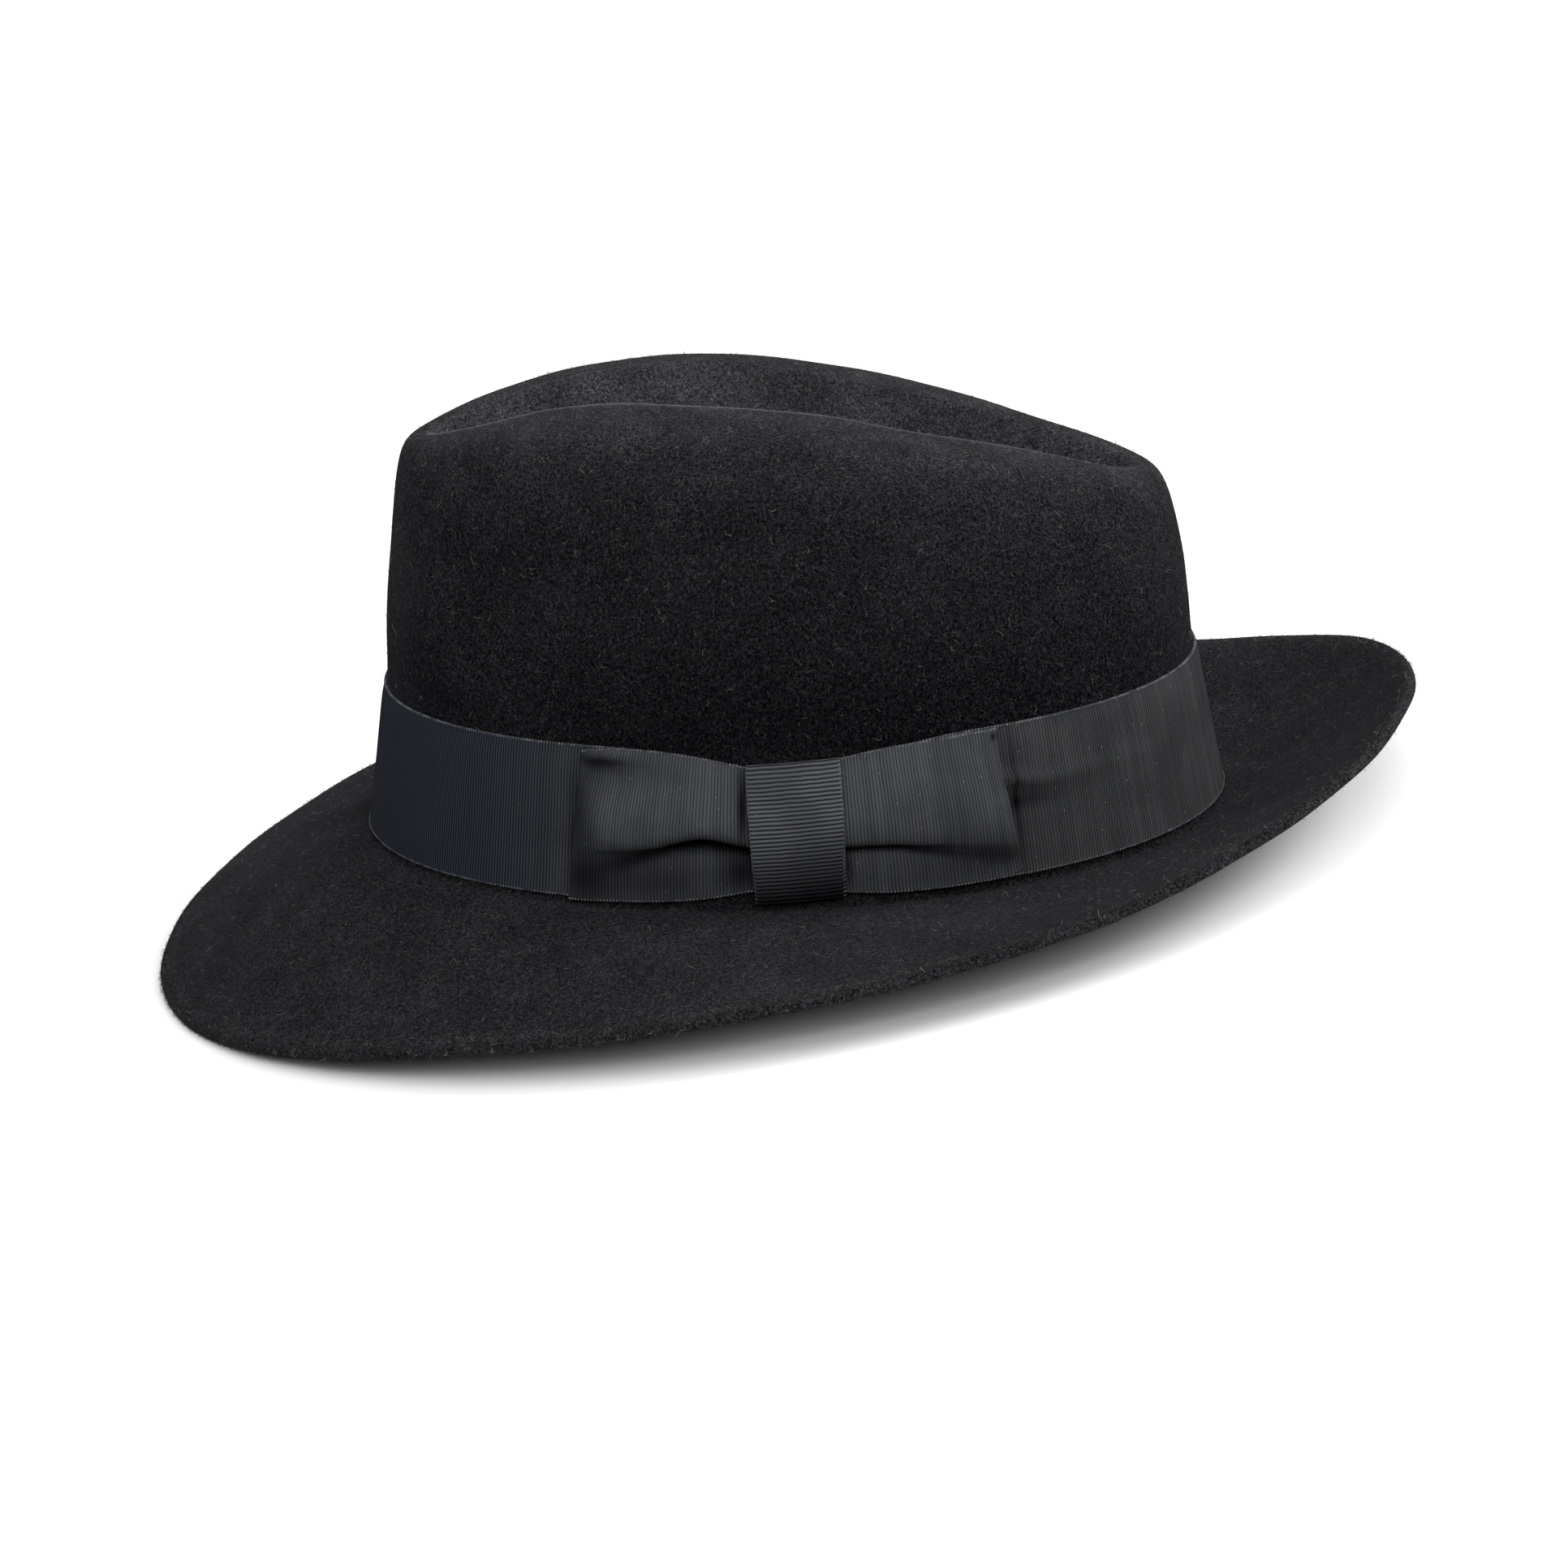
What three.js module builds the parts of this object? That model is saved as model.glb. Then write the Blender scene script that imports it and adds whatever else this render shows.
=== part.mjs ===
// Black felt fedora: a blocked felt crown and brim, a ribbon band and a flat side bow.
// Millimetres, +Z up. The front of the brim points along -Y and the bow sits on the +X side.
// The pieces are drawn in the head's frame, with the foot of the crown at height zero,
// and the whole hat is then turned the way it lies on a flat surface.
import * as THREE from 'three';

// Felt
const feltWall = 2.5;
const headLength = 205.4;
const headWidth = 165.8;
const footRadius = 2.2;

// Crown
const crownHeight = 103.3;
const crownTaperLength = 5.6;
const crownTaperWidth = 4.9;
const ridgeLength = 171.8;
const ridgeWidth = 50;
const ridgeBackShift = 0.9;
const ridgeBackFullness = 0.015;
const dentDepth = 17;
const dentEndRise = 5;
const pinchDepth = 3.6;
const hollowDepth = 1.6;

// Brim
const brimWidth = 55;
const frontDrop = 34.1;
const backLift = 25.9;
const restPress = 0.6;

// Ribbon and bow
const ribbonWall = 1;
const seatGap = 0.3;
const bandHeight = 34.4;
const bowLength = 101;
const bowForward = 1.2;
const bowPuff = 5.5;
const bowFlare = 2.2;
const creaseDepth = 3.2;
const creaseSpread = 4.5;
const waistRise = 2.6;
const waistDip = 5.2;
const knotWidth = 21;
const knotBelly = 0.6;
const knotCorner = 0.8;

// Powers that shape a fade: 1 is even, and more keeps it nearer its end.
const hollowFade = 6;
const swellShape = 0.8;
const gatherFade = 3;

// Smoothness
const stations = 80;
const bowRows = 7;
const knotSteps = 6;
const arcSteps = 240;
const firstTilt = 0.1;
const lastTilt = 1e-6;
const tiny = 1e-9;

// Height of the two ridges along the crown. Along runs from -1 at the front tip to 1 at the
// back tip, and height is a share of the crown's height.
const ridgeLine = [
  { along: -1, height: 0.916 },
  { along: -0.5, height: 0.998 },
  { along: 0, height: 0.973 },
  { along: 0.5, height: 0.877 },
  { along: 1, height: 0.749 },
];

// Rings of the crown above the ribbon. Rise is the share of the way up to the ridge, and
// front, side and back are the shares of the way in towards it.
const crownRings = [
  { rise: 0.25, front: 0.09, side: 0.045, back: 0.09 },
  { rise: 0.5, front: 0.21, side: 0.125, back: 0.21 },
  { rise: 0.7, front: 0.32, side: 0.23, back: 0.35 },
  { rise: 0.84, front: 0.43, side: 0.36, back: 0.48 },
  { rise: 0.93, front: 0.55, side: 0.52, back: 0.62 },
  { rise: 0.98, front: 0.72, side: 0.72, back: 0.78 },
  { rise: 1, front: 1, side: 1, back: 1 },
];

// Rings of the dent between the ridges. Width and length are shares of the ridge ring, and
// depth is a share of the dent's depth.
const dentRings = [
  { width: 0.86, length: 0.972, depth: 0.05 },
  { width: 0.64, length: 0.915, depth: 0.32 },
  { width: 0.38, length: 0.83, depth: 0.74 },
  { width: 0.13, length: 0.73, depth: 1 },
];

// Soft hollows pressed into both sides of the crown. Along is a share of half the head's
// length, up and spread are shares of the crown's height.
const hollows = [
  { name: 'front pinch', depth: pinchDepth, along: -0.63, up: 0.68, spread: 0.2 },
  { name: 'back hollow', depth: hollowDepth, along: 0.56, up: 0.55, spread: 0.2 },
];

// The brim at eight stations round the head, from the front towards the bow. Reach is a
// share of the brim's width, drop and lift are shares of the front's drop and the back's
// lift, and curl is the power of its bend.
const brimStations = [
  { name: 'front', reach: 0.987, drop: 1, lift: 0, curl: 1.2 },
  { name: 'front left', reach: 1.015, drop: 0.735, lift: 0, curl: 1.25 },
  { name: 'left', reach: 1.007, drop: 0.161, lift: 0, curl: 1.4 },
  { name: 'back left', reach: 0.9, drop: 0, lift: 0.564, curl: 1.6 },
  { name: 'back', reach: 0.825, drop: 0, lift: 1, curl: 1.6 },
  { name: 'back right', reach: 0.9, drop: 0, lift: 0.263, curl: 1.6 },
  { name: 'right', reach: 1.007, drop: 0.191, lift: 0, curl: 1.4 },
  { name: 'front right', reach: 1.015, drop: 0.481, lift: 0, curl: 1.25 },
];

// Stations along half the bow, as shares of the way from the knot's edge to the fold.
const leafShares = [0, 0.15, 0.32, 0.5, 0.68, 0.84, 0.96];

// The crease across each half of the bow, as shares of the ribbon's height.
const creaseLine = { atKnot: 0.38, atFold: 0.26 };

// The front leaf's swell at its lower and upper edge, as shares of the puff.
const puffShare = { low: 0.5, high: 1 };

// Rings across the brim, as shares of the way out to its edge.
const brimRings = [1, 0.84, 0.62, 0.4, 0.18];

const QUARTER = Math.PI / 2;

// Smooth curve through the rows of a table, read at one value of a column.
function smooth(rows, keyColumn, valueColumn, at) {
  const keys = rows.map((row) => row[keyColumn]);
  const values = rows.map((row) => row[valueColumn]);
  let k = 0;
  while (k < rows.length - 2 && at > keys[k + 1]) {
    k += 1;
  }
  const slope = (i) => {
    const low = Math.max(i - 1, 0);
    const high = Math.min(i + 1, rows.length - 1);
    return (values[high] - values[low]) / (keys[high] - keys[low]);
  };
  const step = keys[k + 1] - keys[k];
  const t = (at - keys[k]) / step;
  const t2 = t * t;
  const t3 = t2 * t;
  const ends = (2 * t3 - 3 * t2 + 1) * values[k] + (3 * t2 - 2 * t3) * values[k + 1];
  return ends + step * ((t3 - 2 * t2 + t) * slope(k) + (t3 - t2) * slope(k + 1));
}

// Smooth closed curve through evenly spaced stations round the head.
function smoothRound(rows, column, angle) {
  const count = rows.length;
  return rows.reduce((sum, row, i) => {
    const turn = angle - (2 * Math.PI * i) / count;
    const half = Math.tan(turn / 2);
    const weight = Math.abs(half) < tiny ? 1 : Math.sin((count * turn) / 2) / (count * half);
    return sum + row[column] * weight;
  }, 0);
}

function mix(low, high, share) {
  return low + (high - low) * share;
}

// Blend of a row's front, side and back values round the head.
function blendRound(row, angle) {
  const ahead = Math.cos(angle);
  const end = ahead > 0 ? row.front : row.back;
  return mix(row.side, end, ahead * ahead);
}

// Point of an oval, moved out by a distance square to it. Angle 0 is the front.
function oval(angle, halfLength, halfWidth, out, height) {
  const outX = Math.sin(angle) / halfWidth;
  const outY = -Math.cos(angle) / halfLength;
  const size = Math.hypot(outX, outY);
  return new THREE.Vector3(
    halfWidth * Math.sin(angle) + (out * outX) / size,
    -halfLength * Math.cos(angle) + (out * outY) / size,
    height,
  );
}

// The felt wall under the ribbon, or a face a distance outside it.
function wallPoint(angle, height, out = 0) {
  const share = height / bandHeight;
  const halfLength = headLength / 2 - crownTaperLength * share;
  const halfWidth = headWidth / 2 - crownTaperWidth * share;
  return oval(angle, halfLength, halfWidth, out, height);
}

function ridgeHeight(along) {
  return crownHeight * smooth(ridgeLine, 'along', 'height', along);
}

// Ring of the two ridges, drawn smaller for the rings of the dent.
function ridgePoint(angle, width = 1, length = 1) {
  const along = -Math.cos(angle) * length;
  const across = Math.sin(angle) - ridgeBackFullness * Math.sin(2 * angle);
  const y = ridgeBackShift + (ridgeLength / 2) * along;
  return new THREE.Vector3((ridgeWidth / 2) * across * width, y, ridgeHeight(along));
}

function crownPoint(angle, ring) {
  const foot = wallPoint(angle, bandHeight);
  const ridge = ridgePoint(angle);
  const inset = blendRound(ring, angle);
  const point = foot.clone().lerp(ridge, inset);
  point.z = mix(foot.z, ridge.z, ring.rise);
  const side = Math.sin(angle);
  for (const hollow of hollows) {
    const dy = (point.y - (hollow.along * headLength) / 2) / (hollow.spread * crownHeight);
    const dz = (point.z - hollow.up * crownHeight) / (hollow.spread * crownHeight);
    const fade = 1 - ring.rise ** hollowFade;
    point.x -= hollow.depth * Math.exp(-dy * dy - dz * dz) * side * fade;
  }
  return point;
}

function dentPoint(angle, ring) {
  const point = ridgePoint(angle, ring.width, ring.length);
  const ends = Math.cos(angle) ** 2;
  point.z -= (dentDepth - dentEndRise * ends) * ring.depth;
  return point;
}

function brimPoint(angle, share) {
  const reach = brimWidth * smoothRound(brimStations, 'reach', angle);
  const drop = frontDrop * smoothRound(brimStations, 'drop', angle);
  const lift = backLift * smoothRound(brimStations, 'lift', angle);
  const curl = smoothRound(brimStations, 'curl', angle);
  const out = footRadius + (reach - footRadius) * share;
  const height = -footRadius + (lift - drop + footRadius) * share ** curl;
  const point = wallPoint(angle, 0, out);
  point.z = height;
  return point;
}

// Small hollow curve where the crown turns into the brim.
function footPoint(angle, turn) {
  const out = footRadius * (1 - Math.cos(turn));
  const point = wallPoint(angle, 0, out);
  point.z = -footRadius * Math.sin(turn);
  return point;
}

// Rings of the felt's outer face, from the brim's edge up and over into the dent.
function feltRings() {
  const makers = [
    ...brimRings.map((share) => (angle) => brimPoint(angle, share)),
    ...[1, 0.5].map((share) => (angle) => footPoint(angle, share * QUARTER)),
    ...[0, 0.5, 1].map((share) => (angle) => wallPoint(angle, share * bandHeight)),
    ...crownRings.map((ring) => (angle) => crownPoint(angle, ring)),
    ...dentRings.map((ring) => (angle) => dentPoint(angle, ring)),
  ];
  return makers.map((maker) => roundTheHead(maker));
}

// One ring of points, from the front towards the bow and on round the head.
function roundTheHead(maker) {
  return Array.from({ length: stations }, (_, i) => maker((2 * Math.PI * i) / stations));
}

// Faces between neighbouring rows of points. Rows may close on themselves.
function sheetFaces(rows, columns, closed, first, flip) {
  const faces = [];
  const across = closed ? columns : columns - 1;
  for (let r = 0; r < rows - 1; r += 1) {
    for (let i = 0; i < across; i += 1) {
      const j = (i + 1) % columns;
      const low = first + r * columns;
      const high = low + columns;
      faces.push(...quad([low + i, low + j, high + j, high + i], flip));
    }
  }
  return faces;
}

// Two triangles on four corners, turned over where the face looks the other way.
function quad([a, b, c, d], flip) {
  return flip ? [a, c, b, a, d, c] : [a, b, c, a, c, d];
}

// Faces that close a long narrow ring by joining its two sides.
function zipFaces(columns, first, flip) {
  const half = columns / 2;
  const faces = [0, 1, columns - 1, half - 1, half, half + 1];
  for (let i = 1; i < half - 1; i += 1) {
    faces.push(...quad([i, i + 1, columns - i - 1, columns - i], false));
  }
  const placed = faces.map((corner) => corner + first);
  return flip ? placed.reverse() : placed;
}

function geometryOf(points, faces) {
  const geometry = new THREE.BufferGeometry();
  const numbers = new Float32Array(points.flatMap((point) => point.toArray()));
  geometry.setAttribute('position', new THREE.BufferAttribute(numbers, 3));
  geometry.setIndex(faces);
  return geometry;
}

// Closed solid between an outer and an inner sheet. Columns may close on themselves, and the
// last row may be zipped shut instead of getting a cut edge.
function solidBetween(outer, inner, closed, zipped = false) {
  const rows = outer.length;
  const columns = outer[0].length;
  const under = rows * columns;
  const last = (rows - 1) * columns;
  const faces = [
    ...sheetFaces(rows, columns, closed, 0, false),
    ...sheetFaces(rows, columns, closed, under, true),
  ];
  const across = closed ? columns : columns - 1;
  for (let i = 0; i < across; i += 1) {
    const j = (i + 1) % columns;
    faces.push(...quad([i, under + i, under + j, j], false));
    if (!zipped) {
      faces.push(...quad([last + i, last + j, under + last + j, under + last + i], false));
    }
  }
  if (zipped) {
    faces.push(...zipFaces(columns, last, false), ...zipFaces(columns, under + last, true));
  }
  if (!closed) {
    for (let r = 0; r < rows - 1; r += 1) {
      const a = r * columns;
      const b = a + columns - 1;
      faces.push(...quad([a, a + columns, under + a + columns, under + a], false));
      faces.push(...quad([b, under + b, under + b + columns, b + columns], false));
    }
  }
  return geometryOf([...outer.flat(), ...inner.flat()], faces);
}

// The sheet moved square to itself, by a distance inwards.
function insetSheet(rows, distance) {
  const columns = rows[0].length;
  const last = (rows.length - 1) * columns;
  const around = sheetFaces(rows.length, columns, true, 0, false);
  const faces = [...around, ...zipFaces(columns, last, false)];
  const sheet = geometryOf(rows.flat(), faces);
  sheet.computeVertexNormals();
  const normals = sheet.getAttribute('normal');
  return rows.map((row, r) =>
    row.map((point, i) => {
      const normal = new THREE.Vector3().fromBufferAttribute(normals, r * columns + i);
      return point.clone().addScaledVector(normal, -distance);
    }),
  );
}

// How the hat lies: the plane that touches it from below and is highest under its middle.
function restingPlane(points) {
  const clearance = (across, along) =>
    Math.min(...points.map((p) => p.z - across * p.x - along * p.y));
  const plane = { across: 0, along: 0, height: clearance(0, 0) };
  const moves = [-1, 0, 1].flatMap((a) => [-1, 0, 1].map((b) => [a, b]));
  for (let step = firstTilt; step > lastTilt; step /= 2) {
    let better = true;
    while (better) {
      better = false;
      for (const [a, b] of moves) {
        const across = plane.across + a * step;
        const along = plane.along + b * step;
        const height = clearance(across, along);
        if (height > plane.height + tiny) {
          Object.assign(plane, { across, along, height });
          better = true;
        }
      }
    }
  }
  return plane;
}

// The felt gives a little where the surface carries it: both faces lift together.
function pressFlat(outer, inner, plane) {
  inner.forEach((row, r) =>
    row.forEach((point, i) => {
      const floor = plane.height + restPress + plane.across * point.x + plane.along * point.y;
      const lift = Math.max(0, floor - point.z);
      point.z += lift;
      outer[r][i].z += lift;
    }),
  );
}

// Arc length along the ribbon's face, from the front round the bow's side to the back.
const bandArc = [];
for (let i = 0, length = 0; i <= arcSteps; i += 1) {
  const angle = (Math.PI * i) / arcSteps;
  const point = wallPoint(angle, bandHeight / 2, seatGap + ribbonWall);
  length += i > 0 ? point.distanceTo(bandArc[i - 1].point) : 0;
  bandArc.push({ angle, length, point });
}
const arcAtSide = bandArc[arcSteps / 2].length;

// Point on or outside the ribbon's face, placed along it from the middle of the bow.
function onBand(along, height, out) {
  const wanted = arcAtSide - bowForward + along;
  const i = bandArc.findIndex((row) => row.length >= wanted);
  const low = bandArc[i - 1];
  const high = bandArc[i];
  const share = (wanted - low.length) / (high.length - low.length);
  const angle = mix(low.angle, high.angle, share);
  return wallPoint(angle, height, seatGap + ribbonWall + out);
}

// How far the middles of the bow's two leaves stand off the band at its waist.
const leafBack = seatGap + ribbonWall / 2;
const waistFront = leafBack + ribbonWall + seatGap;

// The front leaf swells between knot and fold, and its crease fades towards the fold.
function leafFront(reach, share) {
  const swell = Math.sin(Math.PI * reach ** swellShape);
  const fromCrease = (share - mix(creaseLine.atKnot, creaseLine.atFold, reach)) * bandHeight;
  const crease = Math.exp(-((fromCrease / creaseSpread) ** 2)) * (1 - reach);
  const puff = bowPuff * mix(puffShare.low, puffShare.high, share);
  return waistFront + swell * (puff - creaseDepth * crease);
}

// Height of a place on the bow, which is gathered at its waist and flares below its top.
function leafHeight(reach, share) {
  const gather = (1 - reach) ** gatherFade;
  const low = waistRise * gather;
  const high = bandHeight - waistDip * gather;
  return mix(low, high, share);
}

// One closed loop of ribbon, pressed flat: the front leaf, one fold, the back leaf, the other.
function bowLoop(face) {
  const half = bowLength / 2;
  const knotHalf = knotWidth / 2 + seatGap;
  const shift = (face * ribbonWall) / 2;
  const leaf = leafShares.map((reach) => ({ reach, along: mix(knotHalf, half, reach) }));
  const waist = { reach: 0, along: 0 };
  const mirrored = leaf.map(({ reach, along }) => ({ reach, along: -along })).reverse();
  const frontLeaf = [...mirrored, waist, ...leaf].map((spot) => ({ ...spot, leaf: 'front' }));
  const backLeaf = frontLeaf.map((spot) => ({ ...spot, leaf: 'back' })).reverse();
  const folds = [-half, half].map((along) => ({ along, reach: 1, leaf: 'fold' }));
  const path = [folds[0], ...frontLeaf, folds[1], ...backLeaf];
  return Array.from({ length: bowRows }, (_, r) => {
    const share = r / (bowRows - 1);
    return path.map(({ along, reach, leaf: side }) => {
      const height = leafHeight(reach, share);
      const flared = along + Math.sign(along) * bowFlare * reach * (0.5 - share);
      if (side === 'fold') {
        return onBand(flared + Math.sign(along) * shift, height, (leafBack + waistFront) / 2);
      }
      const out = side === 'front' ? leafFront(reach, share) + shift : leafBack - shift;
      return onBand(flared, height, out);
    });
  });
}

// Wrap over the middle of the bow, turned in above and below it towards the band.
function knotWrap(face) {
  const shift = (face * ribbonWall) / 2;
  const front = waistFront + ribbonWall + seatGap;
  const top = leafHeight(0, 1) + seatGap + ribbonWall / 2;
  const bottom = leafHeight(0, 0) - seatGap - ribbonWall / 2;
  const profile = [
    { out: seatGap, up: bottom - shift },
    { out: front - knotCorner, up: bottom - shift },
    { out: front + shift, up: bottom + knotCorner },
    { out: front + shift + knotBelly, up: mix(bottom, top, 1 / 3) },
    { out: front + shift + knotBelly, up: mix(bottom, top, 2 / 3) },
    { out: front + shift, up: top - knotCorner },
    { out: front - knotCorner, up: top + shift },
    { out: seatGap, up: top + shift },
  ];
  const across = Array.from({ length: knotSteps + 1 }, (_, i) => knotWidth * (i / knotSteps - 0.5));
  return profile.map(({ out, up }) => across.map((along) => onBand(along, up, out)));
}

// A face of the ribbon band, a distance outside the felt.
function bandFace(out) {
  const heights = [0, bandHeight / 2, bandHeight];
  return heights.map((height) => roundTheHead((angle) => wallPoint(angle, height, out)));
}

function piece(name, geometry, color, roughness) {
  const mesh = new THREE.Mesh(geometry, new THREE.MeshStandardMaterial({ color, roughness, metalness: 0 }));
  mesh.name = name;
  return mesh;
}

function feltBody(outer, inner) {
  return piece('felt_body', solidBetween(outer, inner, true, true), '#1d1c20', 0.95);
}

function ribbonBand() {
  const band = solidBetween(bandFace(seatGap + ribbonWall), bandFace(seatGap), true);
  return piece('ribbon_band', band, '#272a31', 0.6);
}

function bowRibbon() {
  return piece('bow_ribbon', solidBetween(bowLoop(1), bowLoop(-1), true), '#2b2c33', 0.55);
}

function bowKnot() {
  return piece('bow_knot', solidBetween(knotWrap(1), knotWrap(-1), false), '#2c2e35', 0.6);
}

const outerFelt = feltRings();
const innerFelt = insetSheet(outerFelt, feltWall);
const plane = restingPlane(innerFelt.flat());
pressFlat(outerFelt, innerFelt, plane);

const hat = new THREE.Group();
hat.add(feltBody(outerFelt, innerFelt), ribbonBand(), bowRibbon(), bowKnot());

// The surface under the hat becomes level, and the middle of the box above it the origin.
const upright = new THREE.Vector3(-plane.across, -plane.along, 1).normalize();
hat.quaternion.setFromUnitVectors(upright, new THREE.Vector3(0, 0, 1));
hat.updateMatrixWorld(true);
const box = new THREE.Box3().setFromObject(hat, true);
hat.position.set(-(box.min.x + box.max.x) / 2, -(box.min.y + box.max.y) / 2, -box.min.z);

const fedora = new THREE.Group();
fedora.add(hat);

export default fedora;
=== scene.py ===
"""Black felt fedora with a grosgrain band and a flat side bow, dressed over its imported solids."""

import math

import bmesh
import bpy
import numpy as np
from mathutils import Matrix, Quaternion, Vector


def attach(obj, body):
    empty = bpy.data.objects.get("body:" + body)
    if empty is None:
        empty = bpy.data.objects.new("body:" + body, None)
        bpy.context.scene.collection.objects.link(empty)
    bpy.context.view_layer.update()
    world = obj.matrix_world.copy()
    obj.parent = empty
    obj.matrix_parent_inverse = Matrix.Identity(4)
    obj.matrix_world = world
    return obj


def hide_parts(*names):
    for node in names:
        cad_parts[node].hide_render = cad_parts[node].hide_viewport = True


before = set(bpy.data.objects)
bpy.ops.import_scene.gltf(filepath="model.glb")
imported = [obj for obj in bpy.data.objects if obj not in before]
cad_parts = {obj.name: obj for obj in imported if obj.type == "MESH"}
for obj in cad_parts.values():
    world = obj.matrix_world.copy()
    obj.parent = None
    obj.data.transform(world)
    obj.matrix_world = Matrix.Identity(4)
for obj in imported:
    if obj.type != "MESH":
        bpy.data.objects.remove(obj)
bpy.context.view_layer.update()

MM = 0.001

# Sizes, in millimetres
felt_wall = 2.5
head_length = 205.4
head_width = 165.8
foot_radius = 2.2

crown_height = 103.3
crown_taper_length = 5.6
crown_taper_width = 4.9
ridge_length = 171.8
ridge_width = 50.0
ridge_back_shift = 0.9
ridge_back_fullness = 0.015
dent_depth = 17.0
dent_end_rise = 5.0
pinch_depth = 3.6
hollow_depth = 1.6
hollow_fade = 6

brim_width = 55.0
front_drop = 34.1
back_lift = 25.9

band_height = 34.4
band_face = 1.0
ribbon_wall = 0.5
bow_forward = 1.2

# How the hat lies: its head's frame turned nose up and set down on the surface.
lie_turn = Quaternion((0.9980873, -0.0617467, -0.0030054, 0.0))
set_down = np.array([-0.0360, 4.1668, 17.0175])

ridge_line = {
    "along": [-1, -0.5, 0, 0.5, 1],
    "height": [0.916, 0.998, 0.973, 0.877, 0.749],
}

# rise, then the shares of the way in towards the ridge at the front, the side and the back
crown_rings = [
    (0.25, 0.09, 0.045, 0.09),
    (0.5, 0.21, 0.125, 0.21),
    (0.7, 0.32, 0.23, 0.35),
    (0.84, 0.43, 0.36, 0.48),
    (0.93, 0.55, 0.52, 0.62),
    (0.98, 0.72, 0.72, 0.78),
    (1, 1, 1, 1),
]

# width and length as shares of the ridge ring, depth as a share of the dent's depth
dent_rings = [
    (0.86, 0.972, 0.05),
    (0.64, 0.915, 0.32),
    (0.38, 0.83, 0.74),
    (0.13, 0.73, 1),
    (0, 0.69, 1.02),
]

# depth, along, up, spread
hollows = [(pinch_depth, -0.63, 0.68, 0.2), (hollow_depth, 0.56, 0.55, 0.2)]

# eight stations round the head, from the front towards the bow
brim_stations = {
    "reach": [0.987, 1.015, 1.007, 0.9, 0.825, 0.9, 1.007, 1.015],
    "drop": [1, 0.735, 0.161, 0, 0, 0, 0.191, 0.481],
    "lift": [0, 0, 0, 0.564, 1, 0.263, 0, 0],
    "curl": [1.2, 1.25, 1.4, 1.6, 1.6, 1.6, 1.4, 1.25],
}


# Shapes of the felt
def mix(low, high, share):
    return low + (high - low) * share


def smooth(keys, values, at):
    """Smooth curve through a table, read at one or many places."""
    keys = np.asarray(keys, float)
    values = np.asarray(values, float)
    at = np.asarray(at, float)
    slopes = np.empty_like(values)
    slopes[1:-1] = (values[2:] - values[:-2]) / (keys[2:] - keys[:-2])
    slopes[0] = (values[1] - values[0]) / (keys[1] - keys[0])
    slopes[-1] = (values[-1] - values[-2]) / (keys[-1] - keys[-2])
    k = np.searchsorted(keys[1:-1], at, side="left")
    step = keys[k + 1] - keys[k]
    t = (at - keys[k]) / step
    ends = (2 * t**3 - 3 * t**2 + 1) * values[k] + (3 * t**2 - 2 * t**3) * values[k + 1]
    return ends + step * ((t**3 - 2 * t**2 + t) * slopes[k] + (t**3 - t**2) * slopes[k + 1])


def smooth_round(values, angle):
    """Smooth closed curve through evenly spaced stations round the head."""
    count = len(values)
    total = np.zeros_like(angle)
    for i, value in enumerate(values):
        turn = angle - 2 * math.pi * i / count
        half = np.tan(turn / 2)
        near = np.abs(half) < 1e-9
        safe = np.where(near, 1, half)
        total += value * np.where(near, 1, np.sin(count * turn / 2) / (count * safe))
    return total


def oval(angle, half_length, half_width, out, height):
    """Points of an oval, moved out square to it. Angle 0 is the front."""
    out_x = np.sin(angle) / half_width
    out_y = -np.cos(angle) / half_length
    size = np.hypot(out_x, out_y)
    x = half_width * np.sin(angle) + out * out_x / size
    y = -half_length * np.cos(angle) + out * out_y / size
    return np.stack([x, y, height + 0 * x], axis=-1)


def wall(angle, height, out=0.0):
    """The felt wall under the ribbon, or a face outside it."""
    share = height / band_height
    half_length = head_length / 2 - crown_taper_length * share
    half_width = head_width / 2 - crown_taper_width * share
    return oval(angle, half_length, half_width, out, height)


def ridge(angle, width=1.0, length=1.0):
    along = -np.cos(angle) * length
    across = np.sin(angle) - ridge_back_fullness * np.sin(2 * angle)
    x = ridge_width / 2 * across * width
    y = ridge_back_shift + ridge_length / 2 * along
    return np.stack([x, y, crown_height * smooth(ridge_line["along"], ridge_line["height"], along)], axis=-1)


def crown(angle, ring):
    rise, front, side, back = ring
    foot = wall(angle, band_height)
    top = ridge(angle)
    ahead = np.cos(angle)
    inset = mix(side, np.where(ahead > 0, front, back), ahead**2)
    points = foot + (top - foot) * inset[:, None]
    points[:, 2] = mix(foot[:, 2], top[:, 2], rise)
    for depth, along, up, spread in hollows:
        dy = (points[:, 1] - along * head_length / 2) / (spread * crown_height)
        dz = (points[:, 2] - up * crown_height) / (spread * crown_height)
        points[:, 0] -= depth * np.exp(-dy**2 - dz**2) * np.sin(angle) * (1 - rise**hollow_fade)
    return points


def dent(angle, ring):
    width, length, depth = ring
    points = ridge(angle, width, length)
    points[:, 2] -= (dent_depth - dent_end_rise * np.cos(angle) ** 2) * depth
    return points


def brim(angle, share):
    reach = brim_width * smooth_round(brim_stations["reach"], angle)
    drop = front_drop * smooth_round(brim_stations["drop"], angle)
    lift = back_lift * smooth_round(brim_stations["lift"], angle)
    curl = smooth_round(brim_stations["curl"], angle)
    points = wall(angle, 0.0, foot_radius + (reach - foot_radius) * share)
    points[:, 2] = -foot_radius + (lift - drop + foot_radius) * share**curl
    return points


def foot_curve(angle, turn):
    points = wall(angle, 0.0, foot_radius * (1 - math.cos(turn)))
    points[:, 2] = -foot_radius * math.sin(turn)
    return points


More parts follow.
